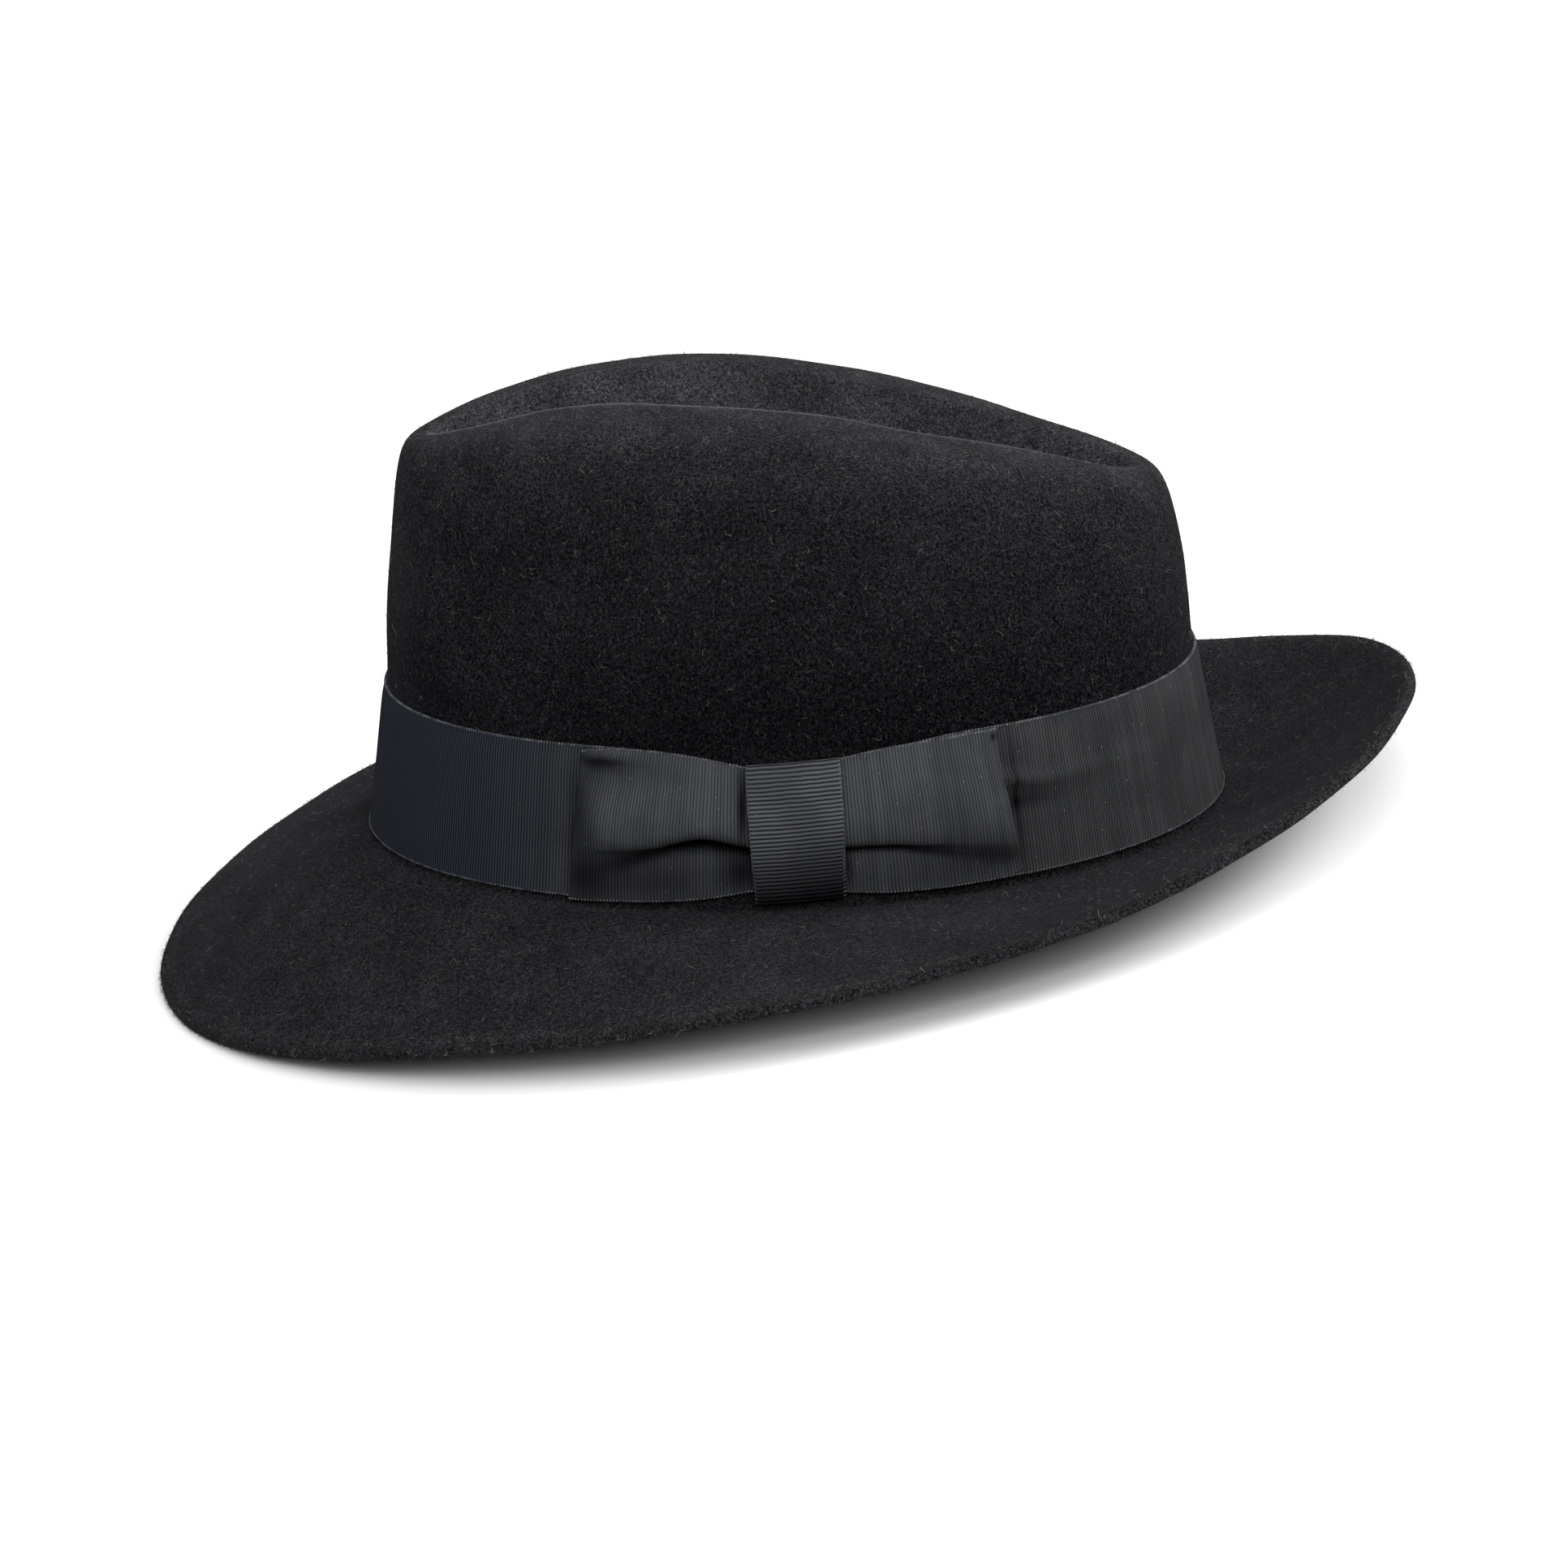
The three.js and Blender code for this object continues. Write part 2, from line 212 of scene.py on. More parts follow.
def fair(rings, steps):
    """Rows of a smooth sheet through the rings, with so many steps after each."""
    gaps = np.sqrt(np.linalg.norm(np.diff(rings, axis=0), axis=2).mean(axis=1))
    slopes = np.empty_like(rings)
    rates = np.diff(rings, axis=0) / gaps[:, None, None]
    weight = (gaps[1:] / (gaps[1:] + gaps[:-1]))[:, None, None]
    slopes[1:-1] = rates[:-1] * weight + rates[1:] * (1 - weight)
    slopes[0], slopes[-1] = rates[0], rates[-1]
    rows = []
    for k, count in enumerate(steps):
        for t in np.arange(count) / count:
            ends = (2 * t**3 - 3 * t**2 + 1) * rings[k] + (3 * t**2 - 2 * t**3) * rings[k + 1]
            bend = (t**3 - 2 * t**2 + t) * slopes[k] + (t**3 - t**2) * slopes[k + 1]
            rows.append(ends + gaps[k] * bend)
    rows.append(rings[-1])
    return np.array(rows)


def normals_of(grid, closed):
    """Unit normals of a grid of points, from its neighbours along and across."""
    if closed:
        along = np.roll(grid, -1, axis=1) - np.roll(grid, 1, axis=1)
    else:
        along = np.gradient(grid, axis=1)
    across = np.gradient(grid, axis=0)
    normals = np.cross(along, across)
    return normals / np.maximum(np.linalg.norm(normals, axis=2, keepdims=True), 1e-12)


def lay_down(points):
    """From the head's frame to the surface that the hat lies on."""
    return points @ np.array(lie_turn.to_matrix()).T + set_down


# Meshes and nodes
def new_object(name, data):
    """An object at the origin with its data, in the scene."""
    made = bpy.data.objects.new(name, data)
    bpy.context.scene.collection.objects.link(made)
    return made


def mesh_piece(name, points, faces, flat=None):
    """A mesh object at the origin from points in millimetres, with its flat cut as UVs in metres."""
    mesh = bpy.data.meshes.new(name)
    mesh.from_pydata((np.asarray(points) * MM).tolist(), [], faces)
    if flat is not None:
        layer = mesh.uv_layers.new(name="flat_cut")
        corners = np.empty(len(mesh.loops), dtype=np.int32)
        mesh.loops.foreach_get("vertex_index", corners)
        layer.data.foreach_set("uv", (np.asarray(flat)[corners] * MM).astype(np.float32).ravel())
    mesh.validate()
    mesh.shade_smooth()
    return new_object(name, mesh)


def grid_faces(rows, columns, closed_rows, closed_columns, index=None):
    """Four-sided faces between the points of a grid."""
    index = np.arange(rows * columns).reshape(rows, columns) if index is None else index
    low = index if closed_rows else index[:-1]
    high = np.roll(index, -1, axis=0) if closed_rows else index[1:]
    if not closed_columns:
        a, b, c, d = low[:, :-1], low[:, 1:], high[:, 1:], high[:, :-1]
    else:
        a, b, c, d = low, np.roll(low, -1, axis=1), np.roll(high, -1, axis=1), high
    return np.stack([a, b, c, d], axis=-1).reshape(-1, 4).tolist()


def keep_share(piece, label, values):
    """Keeps a share from 0 to 1 at each of a piece's points, for its material."""
    layer = piece.data.attributes.new(label, "FLOAT", "POINT")
    layer.data.foreach_set("value", np.clip(values, 0, 1).ravel().astype(np.float32))


def node(tree, kind, inputs=None, **settings):
    """Adds a node with its settings. An input is a plain value, an output, or a node for its first output."""
    made = tree.nodes.new(kind)
    for name, value in settings.items():
        setattr(made, name, value)
    for socket, value in (inputs or {}).items():
        if isinstance(value, bpy.types.Node):
            value = next(output for output in value.outputs if output.enabled)
        if isinstance(value, bpy.types.NodeSocket):
            tree.links.new(value, made.inputs[socket])
        else:
            made.inputs[socket].default_value = value
    return made


def linear(hex_colour, alpha=1.0):
    """An sRGB hex colour as linear light."""
    parts = [int(hex_colour[i : i + 2], 16) / 255 for i in (1, 3, 5)]
    return tuple(c / 12.92 if c <= 0.04045 else ((c + 0.055) / 1.055) ** 2.4 for c in parts) + (alpha,)


# Camera: it looks along the band towards the bow, as in the picture that the hat was measured in.
camera_rise = math.radians(16.85)
camera_back = np.array([math.cos(camera_rise), 0.0, math.sin(camera_rise)])
camera_side = np.array([0.0, 1.0, 0.0])
camera_roll = math.radians(-2.84)
camera_distance = 1300.0
# pixels to a millimetre, the pixel where the foot of the head's axis stands, the picture's side in
# pixels and the camera's sensor in millimetres
camera_scale = 5.07
axis_in_picture = (981.6, 977.0)
picture_side = 1932
sensor = 36.0


def set_camera():
    """The photo's view of the hat, laid down with it."""
    upward = np.cross(camera_back, camera_side)
    right = math.cos(camera_roll) * camera_side + math.sin(camera_roll) * upward
    up = -math.sin(camera_roll) * camera_side + math.cos(camera_roll) * upward
    turn = np.array(lie_turn.to_matrix())
    place = lay_down(camera_back * camera_distance) * MM
    axes = turn @ np.stack([right, up, camera_back], axis=1)
    lens = bpy.data.cameras.new("photo_camera")
    lens.sensor_width = sensor
    lens.lens = sensor * camera_scale * camera_distance / picture_side
    lens.shift_x = (picture_side / 2 - axis_in_picture[0]) / picture_side
    lens.shift_y = (axis_in_picture[1] - picture_side / 2) / picture_side
    camera = new_object("photo_camera", lens)
    camera.matrix_world = Matrix(np.column_stack([axes, place]).tolist() + [[0, 0, 0, 1]])
    bpy.context.scene.camera = camera


set_camera()


# Felt body
columns = 400
angles = 2 * math.pi * np.arange(columns) / columns

# Slow unevenness that hand blocking leaves: wave length, depth, direction and start.
felt_waves = [
    (74.0, 0.30, (0.6, 0.7, 0.4), 0.4),
    (47.0, 0.22, (-0.3, 0.8, -0.5), 2.1),
    (31.0, 0.12, (0.8, -0.2, 0.6), 4.0),
    (21.0, 0.06, (0.1, 0.9, 0.5), 1.3),
]


def unevenness(points):
    """How far hand blocking leaves the felt in or out at each point."""
    total = np.zeros(points.shape[:-1])
    for length, depth, direction, start in felt_waves:
        total += depth * np.sin(2 * math.pi * (points @ np.array(direction)) / length + start)
    return total


brim_rows = 28
foot_rows = 6
wall_rows = 6


def outer_felt():
    """Rows of the felt's outer face, from the brim's edge over the crown to the dent's floor."""
    shares = 1 - np.linspace(0, 1, brim_rows, endpoint=False) ** 0.9
    rows = [brim(angles, share) for share in shares]
    rows += [foot_curve(angles, turn) for turn in np.linspace(math.pi / 2, 0, foot_rows, endpoint=False)]
    rows += [wall(angles, height) for height in np.linspace(0, band_height, wall_rows, endpoint=False)]
    rings = [wall(angles, 0.7 * band_height), wall(angles, band_height)]
    rings += [crown(angles, ring) for ring in crown_rings]
    rings += [dent(angles, ring) for ring in dent_rings]
    # rows between each ring and the next; those under the ribbon are already there
    steps = [4, 7, 7, 7, 6, 5, 5, 6, 6, 7, 7, 6, 2]
    top = fair(np.array(rings), steps)[steps[0] :]
    return np.concatenate([np.array(rows), top])


def felt_normals(grid):
    """The felt's normals, where the two sides of the dent's floor meet on one line."""
    normals = normals_of(grid, closed=True)
    mirrored = normals[-2][(-np.arange(columns)) % columns]
    middle = normals[-2] + mirrored
    normals[-1] = middle / np.linalg.norm(middle, axis=1, keepdims=True)
    return normals


outer = outer_felt()
outer_normals = felt_normals(outer)
stiff_rows = brim_rows + foot_rows + wall_rows
row_number = np.arange(len(outer))
# the felt lies even under the ribbon and where it turns out into the brim, and grows uneven over 14 rows
even_rows = 5.6
uneven_rows = 14.0
from_foot = np.abs(row_number - (stiff_rows - wall_rows))
free = np.clip((from_foot - even_rows) / uneven_rows, 0, 1)
outer = outer + outer_normals * (unevenness(outer) * free[:, None])[..., None]
outer[-1] = (outer[-1] + outer[-1][(-np.arange(columns)) % columns]) / 2
outer_normals = felt_normals(outer)

# the inner face follows the outer one, with fewer rows
keep = np.concatenate([np.arange(0, len(outer) - 1, 2), [len(outer) - 1]])
inner = outer[keep] - felt_wall * outer_normals[keep]

# raw cut edge between the two faces, worn slightly round
edge_rows = 7
edge_bulge = 0.3
edge_out = outer[0] - outer[1]
edge_out /= np.linalg.norm(edge_out, axis=1, keepdims=True)
edge = []
for share in np.linspace(0, 1, edge_rows + 2)[1:-1]:
    bulge = edge_bulge * math.sin(math.pi * share) ** 0.6
    edge.append(mix(inner[0], outer[0], share) + bulge * edge_out)
edge = np.array(edge)

# the felt gives where the surface carries it
least_gap = 0.02
press = np.maximum(0, least_gap - lay_down(inner)[..., 2])
inner[..., 2] += press
outer[keep, :, 2] += press

felt_grid = lay_down(np.concatenate([inner[::-1], edge, outer]))
felt_grid[..., 2] = np.maximum(felt_grid[..., 2], least_gap)
rows_in_all = len(felt_grid)
index = np.arange(rows_in_all * columns).reshape(rows_in_all, columns)
for end in (0, rows_in_all - 1):
    index[end, columns // 2 + 1 :] = index[end, columns // 2 - 1 : 0 : -1]
faces = grid_faces(rows_in_all, columns, False, True, index)
felt = mesh_piece("felt_crown_and_brim", felt_grid.reshape(-1, 3), faces)


# How much paler the felt is made, by height up the crown from the band to the ridge: partly handling and
# dust, partly painted light, lighter towards the top and darker towards the foot.
paling_by_rise = [(0, 0.02), (0.25, 0.07), (0.55, 0.14), (0.8, 0.2), (0.92, 0.3), (0.98, 0.45), (1, 0.58)]
brim_paling = 0.27
dent_paling = 0.9
# less paling, as painted shade, at the back of the brim on the bow's side, a little more at the front of the
# crown, and less at the back of the dent, by place along the hat
brim_painted_shade = {"by": 0.15, "at": 75, "reach": 50}
front_paling = {"along": [-75, -20], "share": [0.06, 0]}
back_of_dent = {"along": [-45, 45], "share": [1, 0.6]}

crown_part = outer[stiff_rows:]
crown_tops = crown_part[..., 2].max(axis=0)
crown_rise = (crown_part[..., 2] - band_height) / (crown_tops - band_height)
wear_and_painted_light = np.full(felt_grid.shape[:2], brim_paling)
brim_part = outer[:stiff_rows]
from_spared = (brim_part[..., 1] - brim_painted_shade["at"]) / brim_painted_shade["reach"]
shade_painted = brim_painted_shade["by"] * np.exp(-(from_spared**2)) * (brim_part[..., 0] > 0)
wear_and_painted_light[-len(outer) : -len(crown_part)] -= shade_painted
wear_and_painted_light[-len(crown_part) :] = np.interp(crown_rise, *zip(*paling_by_rise))
wear_and_painted_light[-len(crown_part) :] += np.interp(crown_part[..., 1], front_paling["along"], front_paling["share"])
dent_part = crown_part[int(np.argmax(crown_part[:, 0, 2])) :]
dent_shares = np.interp(dent_part[..., 1], back_of_dent["along"], back_of_dent["share"])
wear_and_painted_light[-len(dent_part) :] = dent_paling * dent_shares

# A painted highlight runs along the ridge, where its top turns away from the camera into the dent: how strong
# it is by angle from the front, its breadth, how far it lies before the turn, and what is left of it beyond.
highlight_by_angle = [(0, 0.4), (0.2, 0.8), (1.2, 1), (2.2, 0.6), (2.9, 0.2), (math.pi, 0.1)]
highlight_breadth = 0.75
highlight_before_turn = 0.8
highlight_on_far_side = 0.06
rows_near_summit = 5
along_rows = np.cumsum(np.linalg.norm(np.diff(crown_part, axis=0, prepend=crown_part[:1]), axis=2), axis=0)
to_camera = camera_back * camera_distance - crown_part
leaning = (outer_normals[stiff_rows:] * to_camera).sum(axis=2)
highlight_at = np.zeros(columns)
for column in range(columns):
    side = min(column, columns - column)
    summit = int(crown_part[:, side, 2].argmax())
    k = summit - rows_near_summit
    while leaning[k, side] > 0 and k < summit + rows_near_summit:
        k += 1
    before, after = leaning[k - 1, side], leaning[k, side]
    share = float(np.clip(before / (before - after), 0, 1)) if before > after else 0.5
    highlight_at[column] = mix(along_rows[k - 1, side], along_rows[k, side], share) - highlight_before_turn
strength = np.interp(np.minimum(angles, 2 * math.pi - angles), *zip(*highlight_by_angle))
strength[columns // 2 :] *= highlight_on_far_side
crest_highlight = np.zeros(felt_grid.shape[:2])
crest_highlight[-len(crown_part) :] = strength * np.exp(-(((along_rows - highlight_at) / highlight_breadth) ** 2))

# painted shade: darker blue-black patches on the crown's bow side, at the front pinch, below it and along the
# foot of the crown: along, height, half their size, strength
shade_patches = [
    (-70, 74, 11, 8, 0.4),
    (-87, 48, 6, 12, 0.4),
    (-80, 39, 10, 5, 0.35),
    (0, 40, 60, 6, 0.2),
]
painted_dark = np.zeros(felt_grid.shape[:2])
for at, up, long, high, strength in shade_patches:
    there = ((crown_part[..., 1] - at) / long) ** 2 + ((crown_part[..., 2] - up) / high) ** 2
    painted_dark[-len(crown_part) :] += strength * np.exp(-there) * (crown_part[..., 0] > 0)
cut = np.zeros(felt_grid.shape[:2])
cut[len(inner) - 1 : len(inner) + edge_rows + 2] = 1.0
keep_share(felt, "wear_and_painted_light", wear_and_painted_light)
keep_share(felt, "painted_crest_highlight", crest_highlight)
keep_share(felt, "painted_shade_areas", painted_dark)
keep_share(felt, "raw_cut", cut)


# Ribbon, as a sheet with two faces
selvedge_swell = 0.06
selvedge_reach = 0.45


def ribbon_rows(centre, across_mm, closed):
    """Closed section rows of a ribbon from its middle sheet: front face, edge, back face, edge."""
    normals = normals_of(centre, closed)
    from_edge = np.minimum(across_mm, across_mm.max() - across_mm)
    half = ribbon_wall / 2 + selvedge_swell * np.exp(-((from_edge / selvedge_reach) ** 2))
    front = centre + normals * half[:, None, None]
    back = centre - normals * half[:, None, None]
    outward = centre[-1] - centre[-2]
    outward = outward / np.linalg.norm(outward, axis=1, keepdims=True) * half[-1]
    inward = centre[0] - centre[1]
    inward = inward / np.linalg.norm(inward, axis=1, keepdims=True) * half[0]
    top = (centre[-1] + outward)[None]
    low = (centre[0] + inward)[None]
    rows = np.concatenate([front, top, back[::-1], low])
    across = np.concatenate([across_mm, across_mm[-1:], across_mm[::-1], across_mm[:1]])
    return rows, across


def ribbon_piece(name, centre, across_mm, along_mm, closed):
    """A ribbon round its middle sheet, with its flat cut, and the place across it of each row."""
    rows, across = ribbon_rows(centre, across_mm, closed)
    flat = np.stack(np.broadcast_arrays(along_mm[None, :], across[:, None]), axis=-1)
    count = len(along_mm)
    faces = grid_faces(len(rows), count, True, closed)
    if not closed:
        faces.append([row * count for row in range(len(rows))])
        faces.append([row * count + count - 1 for row in range(len(rows))][::-1])
    return mesh_piece(name, lay_down(rows).reshape(-1, 3), faces, flat.reshape(-1, 2)), across


def arc_table():
    """Length along the ribbon's face from the front round the bow's side to the back."""
    turn = np.linspace(0, math.pi, 721)
    points = wall(turn, band_height / 2, band_face)
    steps = np.linalg.norm(np.diff(points, axis=0), axis=1)
    return turn, np.concatenate([[0], np.cumsum(steps)])


arc_turns, arc_lengths = arc_table()
arc_at_side = np.interp(math.pi / 2, arc_turns, arc_lengths)


def on_band(along, height, out):
    """Points placed along the ribbon's face from the middle of the bow."""
    angle = np.interp(arc_at_side - bow_forward + along, arc_lengths, arc_turns)
    return wall(angle, height, band_face + out)


# Band
band_columns = 760
edge_heights = np.array([0, 0.25, 0.6])
face_heights = np.linspace(1.2, band_height - 1.2, 27)
band_heights = np.concatenate([edge_heights, face_heights, band_height - edge_heights[::-1]])
# How the knot pulls the ribbons in: half its own width and how far the pull reaches along them, then
# how far their lower and upper edges come in.
pull_from = 10.5
pull_reach = 17
low_edge_pull = 2.4
high_edge_pull = 4.2
# The buckle beside the bow's back fold, a dip below it, and slow waves where the ribbon was steamed on:
# depth, and how far each wave runs in a radian along the band and up it.
buckle = {"start": 50, "height": 20.7, "arch": 1.6, "out": 2.1, "breadth": 1.6, "reach": 13}
buckle_dip = {"depth": 0.5, "below": 5.4, "breadth": 2.6}
steam_waves = [(0.10, 9.0, 17.0), (0.07, 4.3, -8.0)]
# how far the band's upper edge is drawn in, and how far down that reaches
edge_hug = 0.38
hug_reach = 2.2
# painted shade: the front of the band is coloured a darker blue-black: along, share
front_shade_along = [(-200, 0), (-110, 0.95), (-80, 0.95), (-30, 0)]
# painted shade on the band, below the buckle and beside the bow's two folds: along, height, half their size,
# how deep
band_shade_spots = [
    (56, 16.6, 7, 1.8, 0.5),
    (-52.5, 17, 0.8, 16, 0.35),
    (53, 17, 1.0, 16, 0.6),
]


def turn_at(along):
    """The angle round the head of a place along the band, counted from the middle of the bow."""
    whole = 2 * arc_lengths[-1]
    place = (arc_at_side - bow_forward + along) % whole
    turn = np.interp(np.minimum(place, whole - place), arc_lengths, arc_turns)
    return np.where(place <= whole / 2, turn, 2 * math.pi - turn)


def gathered(along):
    """How far the knot pulls the ribbons together, from 0 to 1."""
    return np.exp(-((np.maximum(np.abs(along - 0.5) - pull_from, 0) / pull_reach) ** 2))


def spot(along, height, at, up, long, high, strength):
    """A soft-edged mark on a ribbon, in millimetres."""
    return strength * np.exp(-(((along - at) / long) ** 2) - ((height - up) / high) ** 2)


def band_relief(along, height):
    """Buckle beside the bow's back fold, and slow waves where the ribbon was steamed on."""
    from_start = along - buckle["start"]
    line = buckle["height"] + buckle["arch"] * np.exp(-((from_start - 1) / 6) ** 2)
    start = 1 / (1 + np.exp(-from_start / 0.8))
    fade = np.exp(-np.maximum(from_start - 2, 0) / buckle["reach"]) * start
    raised = buckle["out"] * np.exp(-((height - line) / buckle["breadth"]) ** 2)
    dip = buckle_dip["depth"] * np.exp(-((height - line + buckle_dip["below"]) / buckle_dip["breadth"]) ** 2)
    waves = sum(depth * np.sin(along / long + height / high) for depth, long, high in steam_waves)
    quiet = np.clip(np.minimum(height, band_height - height) / 5, 0, 1)
    return (raised - dip) * fade + waves * quiet


def make_band():
    whole = 2 * arc_lengths[-1]
    along = whole * np.arange(band_columns) / band_columns
    signed = (along + whole / 2) % whole - whole / 2
    turn = turn_at(along)
    rows = []
    for height in band_heights:
        hug = edge_hug * math.exp(-((band_height - height) / hug_reach) ** 2)
        out = band_face - ribbon_wall / 2 - hug + np.maximum(band_relief(signed, height), -0.3)
        pulled = height + gathered(signed) * mix(low_edge_pull, -high_edge_pull, height / band_height)
        rows.append(wall(turn, pulled, out))
    middle = np.array(rows)
    band, across = ribbon_piece("band_of_grosgrain", middle, band_heights, along, closed=True)
    front_shade = np.interp(signed, *zip(*front_shade_along))
    keep_share(band, "painted_shade_areas", np.tile(front_shade, (len(across), 1)))
    painted_shade = [spot(signed[None, :], across[:, None], *hollow) for hollow in band_shade_spots]
    keep_share(band, "painted_shade_share", sum(painted_shade))
    return band, middle


band, band_middle = make_band()


# Bow
# Cross-sections of the front leaf from its lower edge to its upper one: (height, out), where
# out is measured from the band's face. Reach runs from the knot's edge to the fold.
bow_sections_front = {
    0.0: [
        (2.6, 0.7), (6.5, 0.8), (10.5, 0.5), (13.8, 0.4), (13.0, 2.6),
        (14.8, 3.6), (20, 3.2), (26, 2.0), (29.4, 1.3), (30.6, 1.0),
    ],
    0.25: [
        (1.0, 0.8), (7, 1.0), (12, 0.5), (17.4, 0.4), (15.8, 4.4),
        (17.7, 6.0), (22, 5.3), (27.5, 3.4), (31.3, 2.1), (32.8, 1.3),
    ],
    0.5: [
        (0.2, 0.8), (6, 1.1), (10.5, 0.8), (14.8, 0.8), (13.4, 4.2),
        (15.4, 5.9), (20.8, 5.6), (28, 3.3), (32.6, 2.9), (34.4, 1.9),
    ],
    0.75: [
        (-0.2, 0.7), (5.2, 1.0), (9, 1.0), (11.6, 1.4), (11.9, 3.1),
        (14.6, 4.7), (20.5, 4.4), (28.6, 1.8), (32.5, 3.3), (34.8, 2.0),
    ],
    0.92: [
        (-0.5, 0.7), (4.8, 1.0), (8, 1.3), (10, 1.6), (12, 2.2),
        (17, 3.0), (24, 2.5), (29.6, 1.0), (32.4, 2.8), (34.3, 1.7),
    ],
    1.0: [
        (-0.5, 0.55), (4.7, 0.6), (8, 0.62), (10, 0.65), (12, 0.65),
        (17, 0.7), (24, 0.7), (30, 0.65), (32.4, 0.7), (33.4, 0.6),
    ],
}
bow_sections_back = {
    0.0: [
        (1.6, 0.9), (5, 1.2), (9, 1.0), (12.6, 0.6), (12.0, 2.3),
        (14.4, 3.3), (20, 3.2), (27, 2.0), (30.2, 1.3), (31.4, 1.0),
    ],
    0.25: [
        (0.6, 0.9), (5, 1.5), (9, 1.5), (12.6, 1.0), (12.0, 2.8),
        (14.6, 4.4), (21, 4.5), (28.2, 2.8), (31.7, 1.7), (33.0, 1.4),
    ],
    0.5: [
        (0.3, 0.9), (4, 1.4), (7.5, 1.6), (10.4, 1.5), (10.6, 2.6),
        (13.8, 4.0), (21, 4.4), (28.6, 2.9), (32.5, 1.9), (33.8, 1.5),
    ],
    0.75: [
        (0.3, 0.8), (3.5, 1.2), (6, 1.5), (8, 1.6), (9.8, 2.2),
        (14, 3.2), (21.4, 3.6), (29, 2.3), (32.8, 1.7), (34.1, 1.4),
    ],
    0.92: [
        (0.4, 0.7), (3, 0.9), (5.2, 1.1), (6.8, 1.3), (9, 1.6),
        (14.6, 2.1), (22.6, 2.1), (30, 1.4), (33.1, 1.2), (34.2, 1.0),
    ],
    1.0: [
        (0.4, 0.55), (3, 0.6), (5.2, 0.62), (6.8, 0.65), (9, 0.65),
        (15, 0.7), (23, 0.7), (30, 0.65), (33.2, 0.6), (34.2, 0.55),
    ],
}
# where the two folds stand: height, front fold, back fold
fold_line = [(-1, -52.2, 52.5), (10, -51.9, 51.6), (18, -51.3, 50.8), (28, -50.4, 49.8), (35, -49.7, 49.6)]
knot_edge = 10.0
leaf_columns = 100
leaf_rows = 60
waist_columns = 20
under_columns = 80
# the back leaf's distance from the band, how sharply the folds turn into it, and its waist: where its
# lower edge comes to and what is left of its height
back_leaf_out = 0.3
fold_turn = 60
under_waist = (2.6, 0.81)


def bow_leaf(sections, fold):
    """Points (along, height, out) of half the front leaf, from the knot to its fold."""
    reaches = sorted(sections)
    table = np.array([sections[r] for r in reaches])
    share = 1 - (1 - np.linspace(0, 1, leaf_columns)) ** 1.3
    spots = np.empty((table.shape[1], leaf_columns, 2))
    for row in range(table.shape[1]):
        for axis in range(2):
            spots[row, :, axis] = smooth(reaches, table[:, row, axis], share)
    fine = fair(spots, [6] * 9)
    # spaced evenly along the section, as the ribbon's own threads are
    steps = np.linalg.norm(np.diff(fine, axis=0, prepend=fine[:1]), axis=2)
    length = np.cumsum(steps, axis=0)
    even = np.empty((leaf_rows, leaf_columns, 3))
    heights, folds = zip(*fold)
    for column in range(leaf_columns):
        wanted = np.linspace(0, length[-1, column], leaf_rows)
        even[:, column, 1] = np.interp(wanted, length[:, column], fine[:, column, 0])
        even[:, column, 2] = np.interp(wanted, length[:, column], fine[:, column, 1])
    tips = smooth(heights, folds, even[..., 1])
    edge_at = math.copysign(knot_edge, folds[0])
    even[..., 0] = edge_at + (tips - edge_at) * share
    return even


# Painted shade in the crease under the front leaf's puff: along, height, half its breadth, and how deep in
# the fold.
front_crease_shade = [
    (-52, 7.0, 2.5, 0.0),
    (-44, 8.0, 2.8, 0.45),
    (-38, 9.4, 2.4, 0.7),
    (-32, 11.6, 2.0, 0.85),
    (-27, 13.3, 2.1, 1.0),
    (-20, 14.1, 2.4, 1.0),
    (-14, 13.0, 1.9, 1.0),
    (-8, 11.8, 1.5, 1.0),
]
# painted shade in the crease under the back leaf's puff, in the same columns
back_crease_shade = [
    (8, 11.4, 1.2, 1.0),
    (16, 11.5, 1.2, 1.0),
    (24, 10.8, 1.1, 0.95),
    (31, 9.2, 1.3, 0.8),
    (38, 7.8, 1.7, 0.6),
    (46, 6.4, 2.2, 0.5),
    (53, 5.2, 2.2, 0.3),
]
# Painted shade in hollows that the light hardly gets into: along, height, half their size, how deep
bow_shade_spots = [
    (-48, 4, 10, 7, 0.75),
    (-12, 7, 5, 6, 0.85),
    (-11.2, 22, 1.3, 9, 0.95),
    (-43.5, 32.3, 7, 1.2, 0.88),
    (-45, 29.5, 9, 4.5, 0.25),
    (-50, 19, 5, 11, 0.6),
    (-31, 5, 15, 6, 0.5),
    (11.6, 7, 1.3, 4, 0.7),
    (47, 5.5, 7, 4, 0.45),
    (30, 4.5, 22, 5, 0.3),
    (48.6, 32.8, 0.8, 0.7, 1.0),
]


def painted_shade_share(along, height):
    """Painted shade on the bow: how deep a place lies in its folds and hollows, from 0 to 1."""
    lit = np.ones_like(along)
    for crease in (front_crease_shade, back_crease_shade):
        at, line, breadth, depth = (np.array(column) for column in zip(*crease))
        inside = (along >= at[0]) & (along <= at[-1])
        middle, half, strength = (np.interp(along, at, column) for column in (line, breadth, depth))
        lit *= 1 - np.where(inside, strength * np.exp(-np.abs((height - middle) / half) ** 2.5), 0)
    for hollow in bow_shade_spots:
        lit *= 1 - spot(along, height, *hollow)
    return 1 - lit


